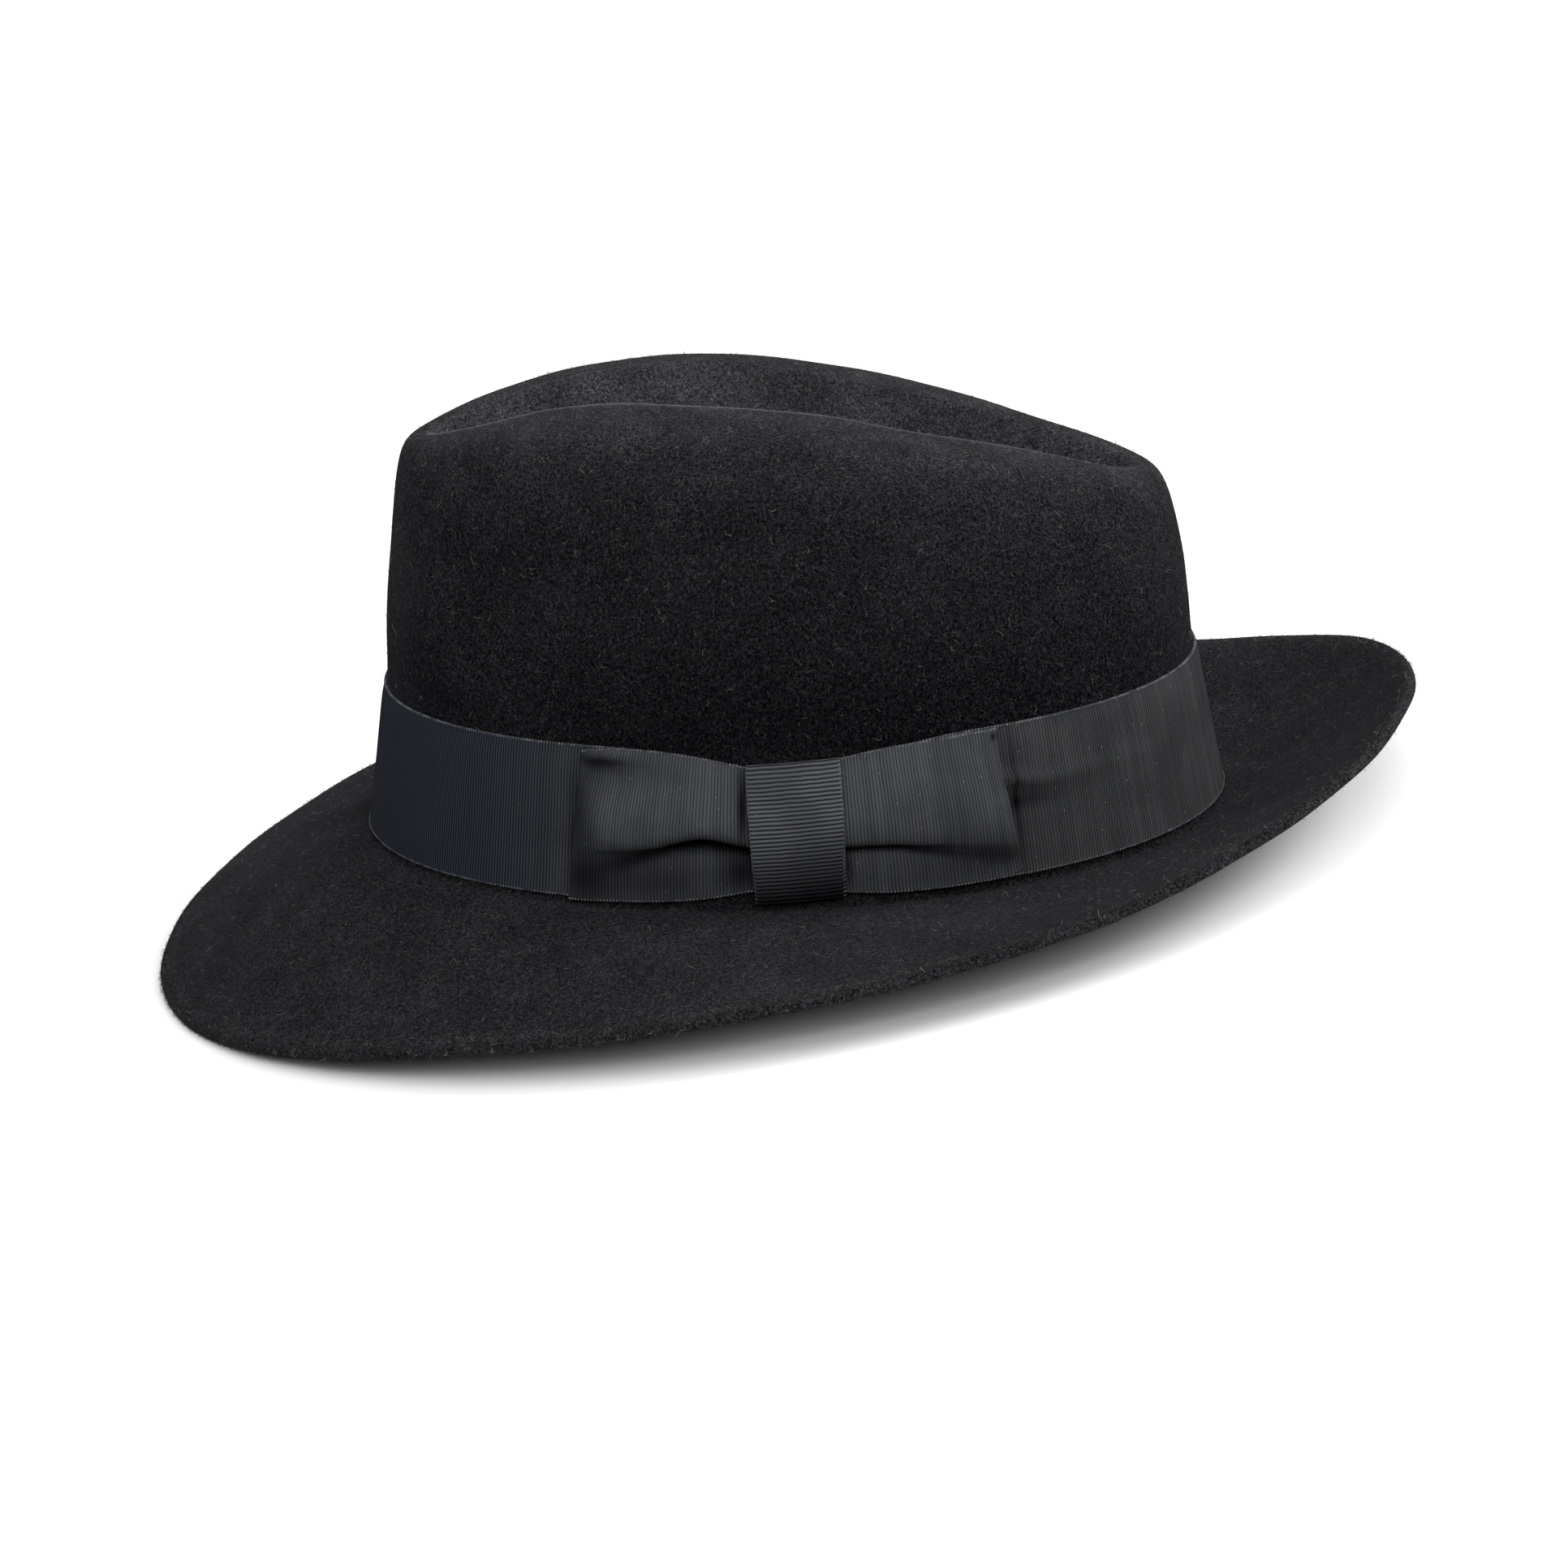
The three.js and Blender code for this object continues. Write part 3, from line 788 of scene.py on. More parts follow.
def make_bow():
    front = bow_leaf(bow_sections_front, [(h, f) for h, f, b in fold_line])
    back = bow_leaf(bow_sections_back, [(h, b) for h, f, b in fold_line])
    shares = np.linspace(0, 1, waist_columns + 2)[1:-1, None, None]
    waist = mix(front[:, 0], back[:, 0], shares)
    leaf = np.concatenate([front[:, ::-1], waist.transpose(1, 0, 2), back], axis=1)
    # the back leaf runs flat behind it, between the same folds
    under = np.empty((leaf_rows, under_columns, 3))
    for k, t in enumerate(np.linspace(0, 1, under_columns + 2)[1:-1]):
        near = mix(leaf[:, -1], leaf[:, 0], t)
        under[:, k] = near
        under[:, k, 2] = mix(near[:, 2], back_leaf_out, 1 - math.exp(-min(t, 1 - t) * fold_turn))
        pulled = gathered(near[:, 0].mean())
        under[:, k, 1] = mix(near[:, 1], under_waist[0] + near[:, 1] * under_waist[1], pulled)
    # the loop's ends meet behind the knot
    loop = np.roll(np.concatenate([leaf, under], axis=1), under_columns // 2, axis=1)
    centre = on_band(loop[..., 0], loop[..., 1], loop[..., 2])
    across = np.linspace(0, band_height, leaf_rows)
    steps = np.linalg.norm(np.roll(centre, -1, axis=1) - centre, axis=2)
    along = np.concatenate([[0], np.cumsum(steps[leaf_rows // 2])])[:-1]
    bow = ribbon_piece("bow_loop_of_grosgrain", centre, across, along, closed=True)[0]
    rows = np.concatenate([np.arange(leaf_rows), [leaf_rows - 1], np.arange(leaf_rows)[::-1], [0]])
    keep_share(bow, "painted_shade_share", painted_shade_share(loop[..., 0], loop[..., 1])[rows])
    return bow, centre


bow, bow_middle = make_bow()


# Knot
# From the top behind the band, over the bow and back under the band: height, out
knot_profile = [
    (28.6, 0.35), (30.4, 0.5), (31.35, 1.1), (31.2, 2.0), (29.8, 2.9),
    (26, 3.75), (21, 4.35), (16, 4.5), (11, 4.0), (6.4, 3.1),
    (2.4, 2.3), (0.5, 1.8), (-0.2, 1.1), (0.5, 0.5), (2.2, 0.35),
]
# the knot's two sides at its top and its bottom, along the band
knot_sides = {"top": (-10.0, 11.2), "bottom": (-8.6, 10.6)}
knot_top = 31
knot_width = 20.2
# its middle stands out by the first, and its back edge higher than its front by the second
knot_crowning = 0.25
knot_lean = 0.8
knot_columns = 44
knot_rows = 260
# painted shadow: its lower part is coloured darker, from this height down
knot_shade_from = 16.0
knot_shade = 0.92


def knot_sheet():
    """The knot's middle sheet, lengths along it, shares across it, and its heights."""
    profile = np.array(knot_profile)[:, None, :]
    fine = fair(profile, [12] * (len(knot_profile) - 1))[:, 0]
    length = np.concatenate([[0], np.cumsum(np.linalg.norm(np.diff(fine, axis=0), axis=1))])
    wanted = np.linspace(0, length[-1], knot_rows)
    height = np.interp(wanted, length, fine[:, 0])
    out = np.interp(wanted, length, fine[:, 1])
    share = np.clip(height / knot_top, 0, 1)
    left = mix(knot_sides["bottom"][0], knot_sides["top"][0], share)
    right = mix(knot_sides["bottom"][1], knot_sides["top"][1], share)
    across = np.linspace(0, 1, knot_columns)
    along = left[:, None] + (right - left)[:, None] * across[None, :]
    crowned = out[:, None] + knot_crowning * (np.sin(math.pi * across)[None, :] ** 0.5 - 1)
    lean = height[:, None] + knot_lean * (across[None, :] - 0.5)
    centre = on_band(along, lean, crowned)
    return centre.transpose(1, 0, 2), wanted, across, height


def make_knot():
    middle, lengths, across, heights = knot_sheet()
    sheet, places = ribbon_piece("knot_sheet", middle, across * knot_width, lengths, closed=False)
    below = np.clip((knot_shade_from - heights) / (knot_shade_from - 1), 0, 1)
    keep_share(sheet, "painted_shade_share", np.tile(knot_shade * below, (len(places), 1)))
    return sheet, middle


knot, knot_middle = make_knot()


# Materials
soft_step = {"interpolation_type": "SMOOTHSTEP"}
colours = {"data_type": "RGBA"}


def new_material(name, plain_values):
    """A material with plain values on its shader's sockets, its node tree and its shader."""
    made = bpy.data.materials.new(name)
    made.use_nodes = True
    shader = made.node_tree.nodes["Principled BSDF"]
    for socket, value in plain_values.items():
        shader.inputs[socket].default_value = value
    return made, made.node_tree, shader


def wool_felt():
    """Matte wool felt, fulled and brushed: fibres lie in every direction, so it gives the eye a soft
    dark grain with paler flecks, and a faint bloom where it turns away."""
    sheen = {"Sheen Weight": 0.04, "Sheen Roughness": 0.22, "Sheen Tint": (0.9, 0.9, 1.0, 1.0)}
    matte = {"Roughness": 0.95, "Specular IOR Level": 0.0}
    made, tree, shader = new_material("black_wool_felt", {**matte, **sheen})
    place = node(tree, "ShaderNodeTexCoord").outputs["Object"]
    # fibre tufts are 0.2 mm wide and are drawn at 0.6 mm, which the picture can show
    tuft_look = {"Scale": 1 / (0.606 * MM), "Detail": 3.0, "Roughness": 0.75, "Distortion": 0.8}
    tufts = node(tree, "ShaderNodeTexNoise", {"Vector": place, **tuft_look})
    grain = node(tree, "ShaderNodeMapRange", {0: tufts, 1: 0.38, 2: 0.66}, **soft_step)
    standing = node(tree, "ShaderNodeMapRange", {0: tufts, 1: 0.42, 2: 0.6}, **soft_step)
    # single fibres, 0.03 mm thick and drawn at 0.3 mm, curl over the surface in turns of about 1.5 mm
    # and 0.9 mm: size, twist and breadth of each kind
    strands = []
    for size, twist, breadth in ((1.5625, 0.8, 0.04), (0.87, 1.2, 0.055)):
        curl_look = {"Scale": 1 / (size * MM), "Detail": 1.0, "Distortion": twist}
        curls = node(tree, "ShaderNodeTexNoise", {"Vector": place, **curl_look})
        off = node(tree, "ShaderNodeMath", {0: curls, 1: 0.5}, operation="SUBTRACT")
        away = node(tree, "ShaderNodeMath", {0: off}, operation="ABSOLUTE")
        strands.append(node(tree, "ShaderNodeMapRange", {0: away, 1: breadth, 2: 0.0}, **soft_step))
    strand = node(tree, "ShaderNodeMath", {0: strands[0], 1: strands[1]}, operation="MAXIMUM")
    # a fibre shows only where its tuft stands up
    strand = node(tree, "ShaderNodeMath", {0: strand, 1: standing}, operation="MULTIPLY")
    # darker felt and paler felt, the paler for wear and painted light: between the tufts, the tufts, how much
    # the fibres show, the fibres
    cloth = []
    for low, high, shown, fibre in (
        ("#020203", "#121213", 0.5, "#303032"),
        ("#19191b", "#3d3d40", 0.6, "#646467"),
    ):
        ground = node(tree, "ShaderNodeMix", {0: grain, 6: linear(low), 7: linear(high)}, **colours)
        share = node(tree, "ShaderNodeMath", {0: strand, 1: shown}, operation="MULTIPLY")
        cloth.append(node(tree, "ShaderNodeMix", {0: share, 6: ground, 7: linear(fibre)}, **colours))
    marks = {}
    for label in ("wear_and_painted_light", "painted_shade_areas", "painted_crest_highlight", "raw_cut"):
        marks[label] = node(tree, "ShaderNodeAttribute", attribute_name=label).outputs["Fac"]
    # brushing marks, 15 mm, leave some of the paler felt paler than the rest
    patch_look = {"Scale": 1 / (15.4 * MM), "Detail": 3.0, "Roughness": 0.5}
    patches = node(tree, "ShaderNodeTexNoise", {"Vector": place, **patch_look})
    brushed = node(tree, "ShaderNodeMapRange", {0: patches, 1: 0.35, 2: 0.68, 3: 0.7, 4: 1.4})
    paled = {0: marks["wear_and_painted_light"], 1: brushed}
    paled = node(tree, "ShaderNodeMath", paled, operation="MULTIPLY", use_clamp=True)
    colour = node(tree, "ShaderNodeMix", {0: paled, 6: cloth[0], 7: cloth[1]}, **colours)
    # flecks of undyed fibre, 0.7 mm
    fleck_look = {"Scale": 1 / (0.667 * MM), "Detail": 2.0, "Distortion": 2.0}
    flecks = node(tree, "ShaderNodeTexNoise", {"Vector": place, **fleck_look})
    flecked = node(tree, "ShaderNodeMapRange", {0: flecks, 1: 0.66, 2: 0.76, 4: 0.45}, **soft_step)
    # painted highlight along the ridges' crest, where they turn away from the camera, tuft by tuft
    crest_glint = node(tree, "ShaderNodeMapRange", {0: tufts, 1: 0.25, 2: 0.55, 4: 0.7}, **soft_step)
    crest_glint = node(tree, "ShaderNodeMath", {0: marks["painted_crest_highlight"], 1: crest_glint}, operation="MULTIPLY")
    # the raw cut edge shows undyed cores
    cores = node(tree, "ShaderNodeMapRange", {0: tufts, 1: 0.38, 2: 0.66, 4: 0.1}, **soft_step)
    cores = node(tree, "ShaderNodeMath", {0: marks["raw_cut"], 1: cores}, operation="MULTIPLY")
    # laid over it in turn: flecks, painted shade patches in blue-black, the painted crest highlight, and the
    # raw cut's cores
    for share, over in (
        (flecked, "#565556"),
        (marks["painted_shade_areas"], "#040407"),
        (crest_glint, "#74777f"),
        (cores, "#5b5a58"),
    ):
        colour = node(tree, "ShaderNodeMix", {0: share, 6: colour, 7: linear(over)}, **colours)
    tree.links.new(colour.outputs[2], shader.inputs["Base Color"])
    relief = node(tree, "ShaderNodeMath", {0: strand, 1: 0.3, 2: tufts}, operation="MULTIPLY_ADD")
    bump = node(tree, "ShaderNodeBump", {"Height": relief, "Strength": 0.8, "Distance": 0.3 * MM})
    tree.links.new(bump.outputs["Normal"], shader.inputs["Normal"])
    return made


def dyed_fibre(name, high, low="#1c1c1e", patch_size=3.03, detail=1.0, roughness=0.8, gloss=0.1):
    """Single fibres or yarn that took up dye unevenly, in patches of a size given in millimetres."""
    made, tree, shader = new_material(name, {"Roughness": roughness, "Specular IOR Level": gloss})
    place = node(tree, "ShaderNodeTexCoord").outputs["Object"]
    dye_look = {"Scale": 1 / (patch_size * MM), "Detail": detail}
    dye = node(tree, "ShaderNodeTexNoise", {"Vector": place, **dye_look})
    taken = node(tree, "ShaderNodeMapRange", {0: dye, 1: 0.35, 2: 0.65}, **soft_step)
    colour = node(tree, "ShaderNodeMix", {0: taken, 6: linear(low), 7: linear(high)}, **colours)
    tree.links.new(colour.outputs[2], shader.inputs["Base Color"])
    return made


def rib_profile(tree, turns):
    """Round ribs with sharp grooves between them, one to a turn."""
    half_turns = node(tree, "ShaderNodeMath", {0: turns, 1: math.pi}, operation="MULTIPLY")
    wave = node(tree, "ShaderNodeMath", {0: half_turns}, operation="SINE")
    return node(tree, "ShaderNodeMath", {0: wave}, operation="ABSOLUTE")


def grosgrain(name, rib_pitch, rib_relief, rib_colour, groove_shade):
    """Grosgrain, woven of viscose over a cotton weft: round ribs across the ribbon with painted shade
    darkening the grooves between them, and a low silky shine."""
    made, tree, shader = new_material(name, {"Roughness": 0.5, "Specular IOR Level": 0.0})
    place = node(tree, "ShaderNodeTexCoord").outputs["Object"]
    # the ribs wander by a third of their width over some 4 mm
    sway = node(tree, "ShaderNodeTexNoise", {"Vector": place, "Scale": 1 / (3.85 * MM), "Detail": 1.0})
    cut = node(tree, "ShaderNodeUVMap", uv_map="flat_cut")
    along = node(tree, "ShaderNodeSeparateXYZ", {"Vector": cut}).outputs["X"]
    swayed = {0: sway, 1: 0.35 * rib_pitch * MM, 2: along}
    swayed = node(tree, "ShaderNodeMath", swayed, operation="MULTIPLY_ADD")
    turns = node(tree, "ShaderNodeMath", {0: swayed, 1: 1 / (rib_pitch * MM)}, operation="MULTIPLY")
    number = node(tree, "ShaderNodeMath", {0: turns}, operation="FLOOR")
    rib = rib_profile(tree, turns)
    crest = node(tree, "ShaderNodeMapRange", {0: rib, 1: 0.3, 2: 0.95}, **soft_step)
    # viscose threads, 0.1 mm, drawn at 0.3 mm
    thread_look = {"Scale": 1 / (0.303 * MM), "Detail": 2.0, "Roughness": 0.7}
    threads = node(tree, "ShaderNodeTexNoise", {"Vector": place, **thread_look})
    # no rib is quite as pale as the next
    odd = node(tree, "ShaderNodeTexWhiteNoise", {"W": number}, noise_dimensions="1D")
    uneven = node(tree, "ShaderNodeMath", {0: odd, 1: 0.25, 2: threads}, operation="MULTIPLY_ADD")
    uneven = node(tree, "ShaderNodeMapRange", {0: uneven, 1: 0.45, 2: 0.85, 4: 0.13}, **soft_step)
    # steam and handling marks, 17 mm
    steam = node(tree, "ShaderNodeTexNoise", {"Vector": place, "Scale": 1 / (16.7 * MM), "Detail": 2.0})
    steamed = node(tree, "ShaderNodeMapRange", {0: steam, 1: 0.38, 2: 0.62, 4: 0.3}, **soft_step)
    # specks of dust, 3 mm apart and 0.3 mm across
    dust = {"Vector": place, "Scale": 1 / (3.33 * MM), "Randomness": 1.0}
    dust = node(tree, "ShaderNodeTexVoronoi", dust)
    specks = node(tree, "ShaderNodeMapRange", {0: dust, 1: 0.075, 2: 0.04, 4: 0.3}, **soft_step)
    # painted shade: the band's front, where less light falls, is coloured a darker blue-black
    painted_dark = node(tree, "ShaderNodeAttribute", attribute_name="painted_shade_areas").outputs["Fac"]
    front_shade = {0: crest, 6: linear("#121418"), 7: linear("#2a2e36")}
    front_shade = node(tree, "ShaderNodeMix", front_shade, **colours)
    # and painted shade: what lies folded in is coloured near black, as if no light got to it
    painted_shade = node(tree, "ShaderNodeAttribute", attribute_name="painted_shade_share").outputs["Fac"]
    # painted shade: the grooves between the ribs are coloured darker than their crests
    colour = {0: crest, 6: linear(groove_shade), 7: linear(rib_colour)}
    colour = node(tree, "ShaderNodeMix", colour, **colours)
    for share, over in (
        (uneven, linear("#636467")),
        (steamed, linear("#1d1e20")),
        (specks, linear("#8c8c8c")),
        (painted_dark, front_shade),
        (painted_shade, linear("#020203")),
    ):
        colour = node(tree, "ShaderNodeMix", {0: share, 6: colour, 7: over}, **colours)
    tree.links.new(colour.outputs[2], shader.inputs["Base Color"])
    height = node(tree, "ShaderNodeMath", {0: threads, 1: 0.25, 2: rib}, operation="MULTIPLY_ADD")
    relief = {"Height": height, "Strength": 1.0, "Distance": rib_relief * MM}
    bump = node(tree, "ShaderNodeBump", relief)
    tree.links.new(bump.outputs["Normal"], shader.inputs["Normal"])
    return made


felt_finish = wool_felt()
# Loose wool fibres are paler than the cloth, because light passes through them.
nap_finish = dyed_fibre("black_wool_nap", "#4e4e50")
edge_nap_finish = dyed_fibre("black_wool_edge", "#242426")
lint_finish = dyed_fibre("pale_wool_lint", "#7d7c79")
thread_finish = dyed_fibre("black_sewing_thread", "#2c2c30")
# The weft's turns at the ribbon's edges are closely packed and a little paler than its face.
selvedge_finish = dyed_fibre("black_selvedge_yarn", "#54565b", "#2c2d31", 2.0, 2.0, 0.55, 0.15)
# Ribs stand 0.67 mm apart on the band and the bow, and are drawn at 0.8 mm so that they show.
rib_pitch = 0.8
knot_rib_pitch = 0.95
band_finish = grosgrain("black_grosgrain_of_the_band", rib_pitch, 0.12, "#353536", "#1e1f20")
bow_finish = grosgrain("black_grosgrain_of_the_bow", rib_pitch, 0.12, "#3f4043", "#28292c")
knot_finish = grosgrain("black_coarse_grosgrain", knot_rib_pitch, 0.1, "#4c4d50", "#18191b")


# Growing what repeats
def new_tree(name, inputs):
    """A Geometry Nodes tree with named inputs, and its input node's outputs."""
    tree = bpy.data.node_groups.new(name, "GeometryNodeTree")
    for label, kind in {"Geometry": "Geometry", **inputs}.items():
        tree.interface.new_socket(label, in_out="INPUT", socket_type="NodeSocket" + kind)
    tree.interface.new_socket("Geometry", in_out="OUTPUT", socket_type="NodeSocketGeometry")
    return tree, node(tree, "NodeGroupInput").outputs


def end_tree(tree, geometry, finish):
    real = node(tree, "GeometryNodeRealizeInstances", {0: geometry})
    dressed = node(tree, "GeometryNodeSetMaterial", {"Geometry": real, "Material": finish})
    node(tree, "NodeGroupOutput", {0: dressed})
    return tree


def grow(name, source, tree, sizes):
    """Runs a tree over a source and keeps the result as a plain mesh piece."""
    modifier = source.modifiers.new(tree.name, "NODES")
    modifier.node_group = tree
    for item in tree.interface.items_tree:
        if item.in_out == "INPUT" and item.name in sizes:
            modifier[item.identifier] = sizes[item.name]
    graph = bpy.context.evaluated_depsgraph_get()
    mesh = bpy.data.meshes.new_from_object(source.evaluated_get(graph))
    source.modifiers.remove(modifier)
    mesh.name = name
    bpy.data.objects.remove(source)
    return new_object(name, mesh)


def stand_on(tree, spots, what, tilt, size):
    """Stands a copy of something on every spot, tilted from the spot's own facing."""
    turned = node(tree, "FunctionNodeEulerToRotation", {0: tilt})
    facing = {0: spots["Rotation"], 1: turned}
    facing = node(tree, "FunctionNodeRotateRotation", facing, rotation_space="LOCAL")
    stood = {"Points": spots["Points"], "Instance": what, "Rotation": facing, "Scale": size}
    return node(tree, "GeometryNodeInstanceOnPoints", stood)


def fibre_tree(name, finish, bends):
    """Scatters bent wool fibres over a surface, leaning every way."""
    sizes = dict.fromkeys(["Fibres per square metre", "Length", "Radius", "Curl", "Lean"], "Float")
    tree, given = new_tree(name, {**sizes, "Seed": "Int"})
    seed = given["Seed"]
    sown = {"Mesh": given["Geometry"], "Density": given["Fibres per square metre"], "Seed": seed}
    spots = node(tree, "GeometryNodeDistributePointsOnFaces", sown).outputs
    # one fibre, a bent thread of three sides
    bend_at = node(tree, "ShaderNodeMath", {0: given["Length"], 1: 0.55}, operation="MULTIPLY")
    middle = node(tree, "ShaderNodeCombineXYZ", {"X": given["Curl"], "Z": bend_at})
    tip = node(tree, "ShaderNodeCombineXYZ", {"Z": given["Length"]})
    shape = {"Resolution": bends, "Start": (0, 0, 0), "Middle": middle, "End": tip}
    shape = node(tree, "GeometryNodeCurveQuadraticBezier", shape)
    section = {"Resolution": 3, "Radius": given["Radius"]}
    section = node(tree, "GeometryNodeCurvePrimitiveCircle", section)
    hair = node(tree, "GeometryNodeCurveToMesh", {"Curve": shape, "Profile Curve": section})
    # its lean, its turn and its size
    least = node(tree, "ShaderNodeMath", {0: given["Lean"], 1: 0.5}, operation="SUBTRACT")
    low = node(tree, "ShaderNodeCombineXYZ", {"X": least, "Y": -0.6, "Z": 0.0})
    high = node(tree, "ShaderNodeCombineXYZ", {"X": given["Lean"], "Y": 0.6, "Z": 6.28})
    tilt = {0: low, 1: high, "Seed": seed}
    tilt = node(tree, "FunctionNodeRandomValue", tilt, data_type="FLOAT_VECTOR")
    size = node(tree, "FunctionNodeRandomValue", {2: 0.45, 3: 1.35, "Seed": seed}, data_type="FLOAT")
    real = node(tree, "GeometryNodeRealizeInstances", {0: stand_on(tree, spots, hair, tilt, size)})
    # small bends of their own, 1.1 mm long
    bend = node(tree, "ShaderNodeTexNoise", {"Scale": 900.0, "Detail": 1.0}).outputs["Color"]
    half = (0.5, 0.5, 0.5)
    centred = node(tree, "ShaderNodeVectorMath", {0: bend, 1: half}, operation="SUBTRACT")
    curl = node(tree, "ShaderNodeMath", {0: given["Curl"], 1: 1.6}, operation="MULTIPLY")
    wiggle = node(tree, "ShaderNodeVectorMath", {0: centred, "Scale": curl}, operation="SCALE")
    bent = node(tree, "GeometryNodeSetPosition", {"Geometry": real, "Offset": wiggle})
    # no fibre reaches through the surface that the hat lies on
    place = node(tree, "GeometryNodeInputPosition")
    place = node(tree, "ShaderNodeSeparateXYZ", {0: place}).outputs
    up = node(tree, "ShaderNodeMath", {0: place["Z"], 1: 0.0}, operation="MAXIMUM")
    above = node(tree, "ShaderNodeCombineXYZ", {"X": place["X"], "Y": place["Y"], "Z": up})
    lifted = node(tree, "GeometryNodeSetPosition", {"Geometry": bent, "Position": above})
    return end_tree(tree, lifted, finish)


def selvedge_tree(name, finish):
    """Lays the slanting turns of the weft, one to a rib, along a ribbon's selvedge."""
    sizes = dict.fromkeys(["Rib Pitch", "Turn Width", "Turn Height", "Slant"], "Float")
    tree, given = new_tree(name, sizes)
    line = node(tree, "GeometryNodeMeshToCurve", {"Mesh": given["Geometry"]})
    spaced = {"Curve": line, "Length": given["Rib Pitch"]}
    spots = node(tree, "GeometryNodeCurveToPoints", spaced, mode="LENGTH").outputs
    bead = node(tree, "GeometryNodeMeshUVSphere", {"Segments": 6, "Rings": 4, "Radius": 0.5})
    smoothed = node(tree, "GeometryNodeSetShadeSmooth", {0: bead})
    long = node(tree, "ShaderNodeMath", {0: given["Rib Pitch"], 1: 0.86}, operation="MULTIPLY")
    size = {"X": given["Turn Width"], "Y": given["Turn Height"], "Z": long}
    size = node(tree, "ShaderNodeCombineXYZ", size)
    slanted = node(tree, "ShaderNodeCombineXYZ", {"X": given["Slant"]})
    return end_tree(tree, stand_on(tree, spots, smoothed, slanted, size), finish)


def rib_tree(name, finish):
    """Raises the ribs of a coarse grosgrain out of its sheet, along the flat cut."""
    tree, given = new_tree(name, {"Rib Pitch": "Float", "Rib Height": "Float"})
    cut = {"Name": "flat_cut"}
    cut = node(tree, "GeometryNodeInputNamedAttribute", cut, data_type="FLOAT_VECTOR")
    along = node(tree, "ShaderNodeSeparateXYZ", {0: cut}).outputs["X"]
    turns = node(tree, "ShaderNodeMath", {0: along, 1: given["Rib Pitch"]}, operation="DIVIDE")
    rib = rib_profile(tree, turns)
    rise = node(tree, "ShaderNodeMath", {0: rib, 1: given["Rib Height"]}, operation="MULTIPLY")
    facing = node(tree, "GeometryNodeInputNormal")
    out = node(tree, "ShaderNodeVectorMath", {0: facing, "Scale": rise}, operation="SCALE")
    raised = {"Geometry": given["Geometry"], "Offset": out}
    return end_tree(tree, node(tree, "GeometryNodeSetPosition", raised), finish)


def thread_tree(name, finish):
    """Turns lines into sewing thread."""
    tree, given = new_tree(name, {"Radius": "Float"})
    line = node(tree, "GeometryNodeMeshToCurve", {"Mesh": given["Geometry"]})
    section = {"Resolution": 5, "Radius": given["Radius"]}
    section = node(tree, "GeometryNodeCurvePrimitiveCircle", section)
    thread = {"Curve": line, "Profile Curve": section, "Fill Caps": True}
    return end_tree(tree, node(tree, "GeometryNodeCurveToMesh", thread), finish)


def lines(name, paths, closed):
    """A mesh of lines, in millimetres, for a tree to follow."""
    points, edges = [], []
    for path in paths:
        start = len(points)
        points += [tuple(p) for p in np.asarray(path) * MM]
        edges += [(start + k, start + k + 1) for k in range(len(path) - 1)]
        if closed:
            edges.append((len(points) - 1, start))
    mesh = bpy.data.meshes.new(name)
    mesh.from_pydata(points, edges, [])
    return new_object(name, mesh)


# Wool that stands off the felt
nap_tree = fibre_tree("wool_nap", nap_finish, 3)
edge_nap_tree = fibre_tree("edge_wool_nap", edge_nap_finish, 3)
lint_tree = fibre_tree("wool_lint", lint_finish, 4)

edge_start = len(inner)
outer_start = edge_start + edge_rows
crown_start = outer_start + stiff_rows
ridge_row = crown_start + int(np.argmax(felt_grid[crown_start:, 0, 2]))
crown_skin = felt_grid[crown_start:]
brim_skin = felt_grid[outer_start : outer_start + brim_rows]
edge_skin = felt_grid[edge_start - 1 : outer_start + 2]
ridge_skin = felt_grid[ridge_row - 4 : ridge_row + 3]
shoulder_skin = felt_grid[ridge_row - 13 : ridge_row + 2]
# piece: where it grows, tree, fibres per square metre, length, radius, curl, lean, seed
wool = {
    "crown_nap": (crown_skin, nap_tree, 150000.0, 0.8, 0.026, 0.3, 1.25, 3),
    "brim_nap": (brim_skin, nap_tree, 150000.0, 0.75, 0.026, 0.3, 1.25, 5),
    "ridge_nap": (ridge_skin, nap_tree, 700000.0, 0.9, 0.022, 0.25, 0.9, 6),
    "edge_nap": (edge_skin, edge_nap_tree, 1800000.0, 0.7, 0.028, 0.35, 1.0, 7),
    "crown_lint": (crown_skin, lint_tree, 56000.0, 1.5, 0.021, 0.6, 1.5, 11),
    "brim_lint": (brim_skin, lint_tree, 70000.0, 1.4, 0.021, 0.6, 1.5, 13),
    "ridge_lint": (shoulder_skin, lint_tree, 110000.0, 1.3, 0.021, 0.5, 1.5, 19),
    "edge_lint": (edge_skin, lint_tree, 200000.0, 1.2, 0.03, 0.5, 1.2, 17),
}
for name, (grid, tree, density, length, radius, curl, lean, seed) in wool.items():
    faces = grid_faces(len(grid), columns, False, True)
    skin = mesh_piece(name + "_skin", grid.reshape(-1, 3), faces)
    sizes = {"Fibres per square metre": density, "Lean": lean, "Seed": seed}
    sizes.update({"Length": length * MM, "Radius": radius * MM, "Curl": curl * MM})
    piece = grow(name, skin, tree, sizes)
    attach(piece, "root")

# Selvedges, and the knot's ribs
edge_tree = selvedge_tree("weft_turns", selvedge_finish)
turn_size = {"Turn Width": 0.95 * MM, "Turn Height": 0.8 * MM, "Slant": 0.5}
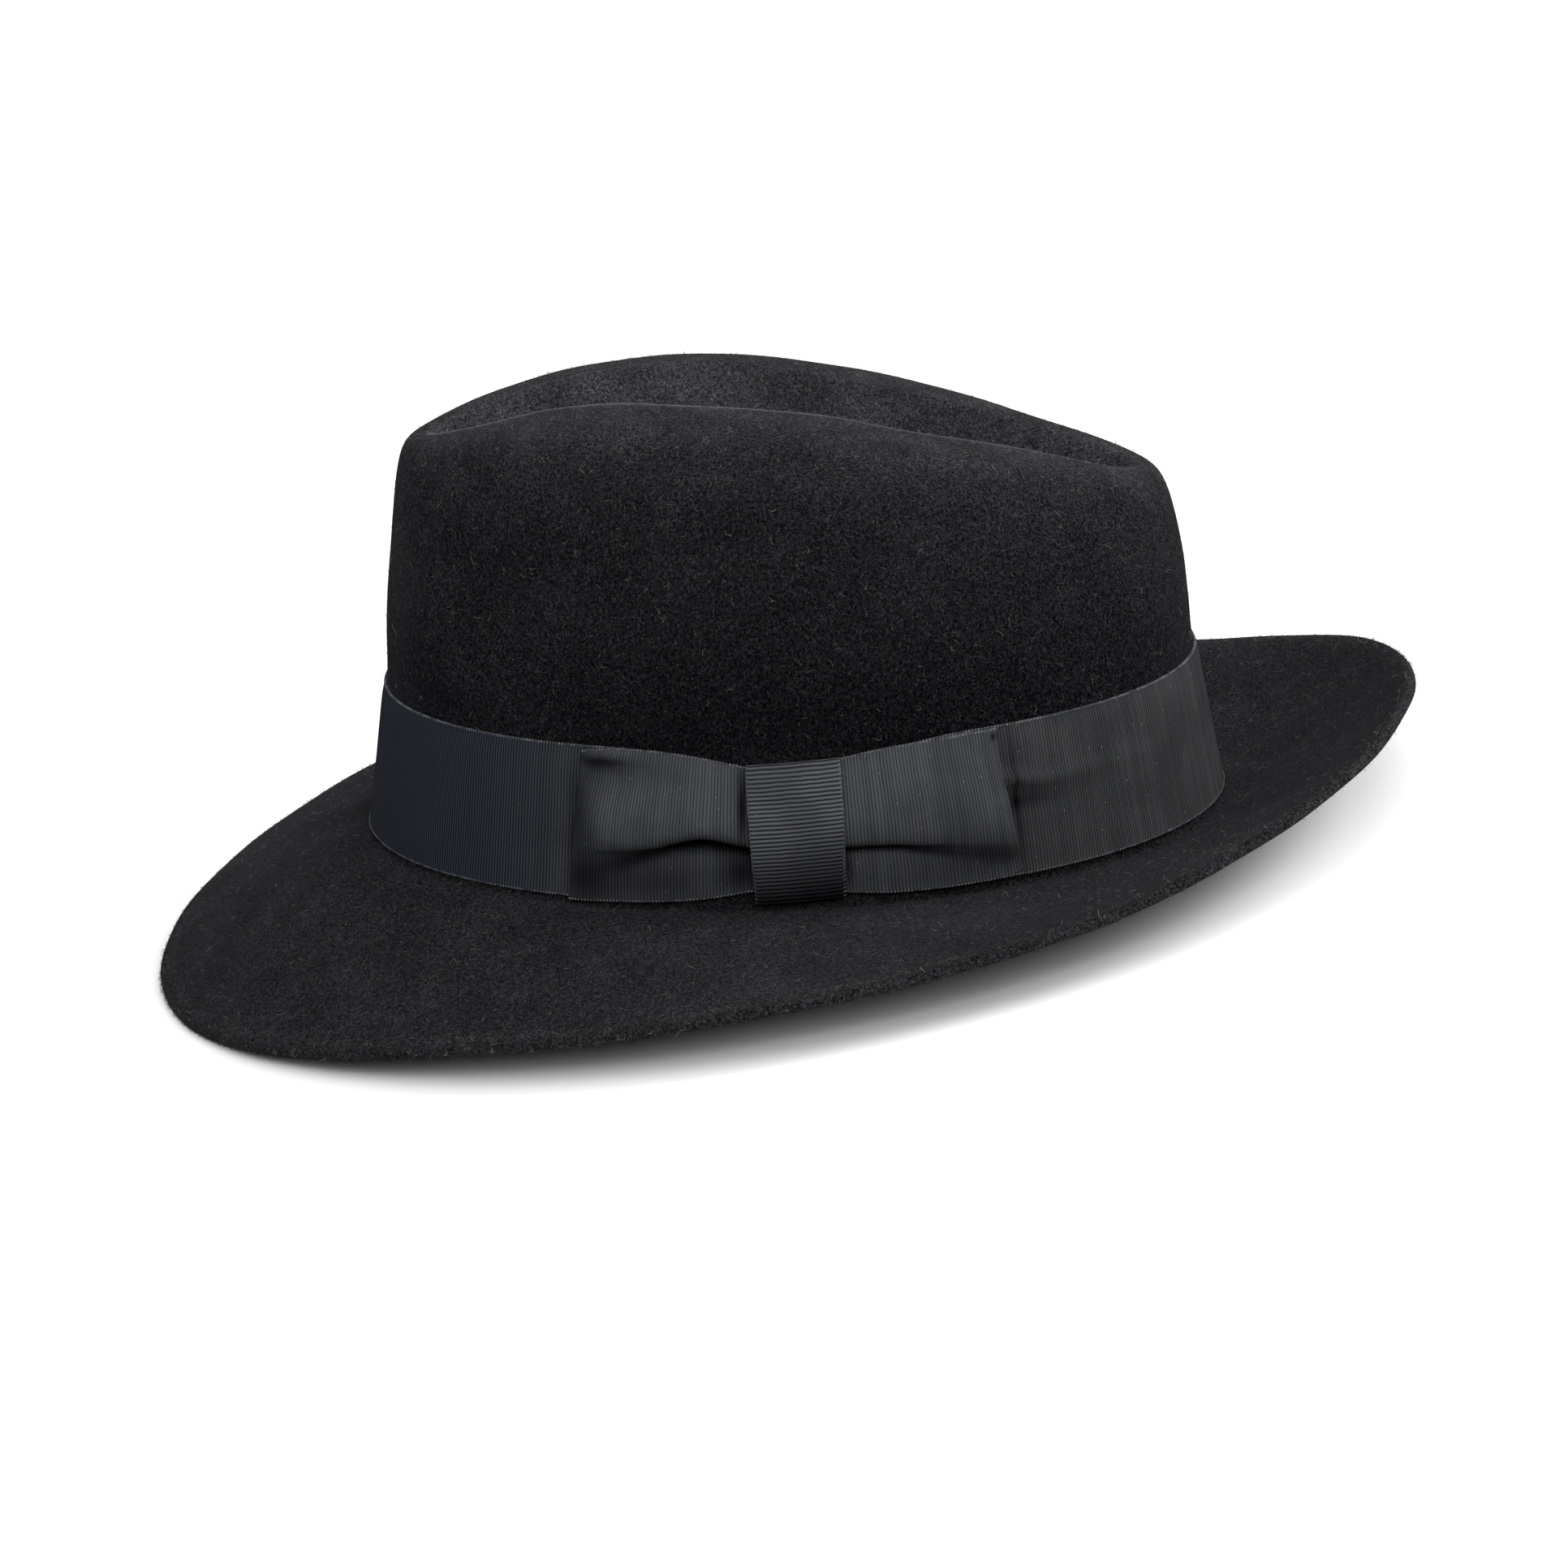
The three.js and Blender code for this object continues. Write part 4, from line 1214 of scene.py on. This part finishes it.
# piece: the ribbon's middle sheet, whether its edges are closed lines, rib pitch
selvedges = {}
for name, (sheet, closed, pitch) in {
    "band": (band_middle, True, rib_pitch),
    "bow": (bow_middle, True, rib_pitch),
    "knot": (knot_middle, False, knot_rib_pitch),
}.items():
    edges = lines(name + "_edges", [lay_down(sheet[0]), lay_down(sheet[-1])], closed)
    sizes = {**turn_size, "Rib Pitch": pitch * MM}
    selvedges[name] = grow(name + "_selvedge", edges, edge_tree, sizes)
knot_ribs = {"Rib Pitch": knot_rib_pitch * MM, "Rib Height": 0.12 * MM}
knot = grow("knot_of_grosgrain", knot, rib_tree("knot_ribs", knot_finish), knot_ribs)

# Stitches that hold the bow: place along the band, height, out, slant, length
stitches = [
    (48.0, 33.2, 1.25, 0.3, 1.8),
    (48.8, 32.6, 1.2, 1.5, 1.6),
    (47.6, 32.4, 1.25, -0.7, 1.4),
    (51.0, 1.2, 1.1, 0.4, 1.8),
    (51.9, 1.6, 1.0, 1.3, 1.4),
    (50.4, 0.4, 1.1, -0.4, 1.5),
    (11.7, 9.2, 1.5, 1.4, 1.8),
    (12.3, 7.2, 1.5, 1.0, 1.7),
    (11.9, 5.4, 1.5, 1.7, 1.7),
    (12.6, 4.4, 1.5, 0.2, 1.5),
    (-50.4, 0.4, 1.0, 0.2, 1.6),
]
thread_radius = 0.13
stitch_arch = 0.25
stitch_bite = 0.2


def stitch_path(along, height, out, slant, length):
    """A stitch arches out of the ribbon between two points where it bites into it."""
    t = np.linspace(-1, 1, 7)
    at = along + t * length / 2 * math.cos(slant)
    up = height + t * length / 2 * math.sin(slant)
    return lay_down(on_band(at, up, out + stitch_arch * (1 - t**2) - stitch_bite))


stitch_lines = lines("stitch_lines", [stitch_path(*stitch) for stitch in stitches], False)
sewing = thread_tree("sewing_thread", thread_finish)
bow_stitches = grow("bow_stitches", stitch_lines, sewing, {"Radius": thread_radius * MM})

# Finishes, facing and places in the frame
felt.data.materials.append(felt_finish)
band.data.materials.append(band_finish)
bow.data.materials.append(bow_finish)

for piece in (felt, band, bow, knot):
    work = bmesh.new()
    work.from_mesh(piece.data)
    bmesh.ops.recalc_face_normals(work, faces=work.faces)
    work.to_mesh(piece.data)
    work.free()

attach(felt, "root")
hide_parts("felt_body")
for piece, stands_for in ((band, "ribbon_band"), (bow, "bow_ribbon"), (knot, "bow_knot")):
    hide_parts(stands_for)
for piece in (band, bow, knot, *selvedges.values(), bow_stitches):
    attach(piece, "root")


# Floor and light
def make_floor():
    """A plain sheet of white studio paper, 12 m square."""
    half = 6000
    corners = [(-half, -half, 0), (half, -half, 0), (half, half, 0), (-half, half, 0)]
    floor = mesh_piece("studio_floor", corners, [[0, 1, 2, 3]])
    matte = {"Base Color": linear("#ededed"), "Roughness": 0.9, "Specular IOR Level": 0.1}
    paper, tree, shader = new_material("white_studio_paper", matte)
    floor.data.materials.append(paper)


def set_air(strength):
    """Even white light from all round."""
    world = bpy.data.worlds.new("studio_air")
    bpy.context.scene.world = world
    world.use_nodes = True
    background = world.node_tree.nodes["Background"]
    background.inputs["Color"].default_value = (1, 1, 1, 1)
    background.inputs["Strength"].default_value = strength


def softbox(name, place, size, power):
    """A rectangular lamp aimed at the foot of the crown, in metres and watts."""
    light = bpy.data.lights.new(name, "AREA")
    light.shape = "RECTANGLE"
    light.size, light.size_y = size
    light.energy = power
    lamp = new_object(name, light)
    direction = Vector((0, 0, 0.05)) - Vector(place)
    lamp.rotation_mode = "QUATERNION"
    lamp.rotation_quaternion = direction.to_track_quat("-Z", "Y")
    lamp.location = place


make_floor()
set_air(0.3)
softbox("overhead_softbox", (0.3, 0.6, 4.2), (9.0, 9.0), 340)
softbox("back_softbox", (-1.0, 2.6, 1.4), (2.0, 1.4), 100)
softbox("front_softbox", (2.6, 0.8, 1.5), (2.2, 1.4), 52)
# Standard keeps the paper as white as it was lit.
bpy.context.scene.view_settings.view_transform = "Standard"
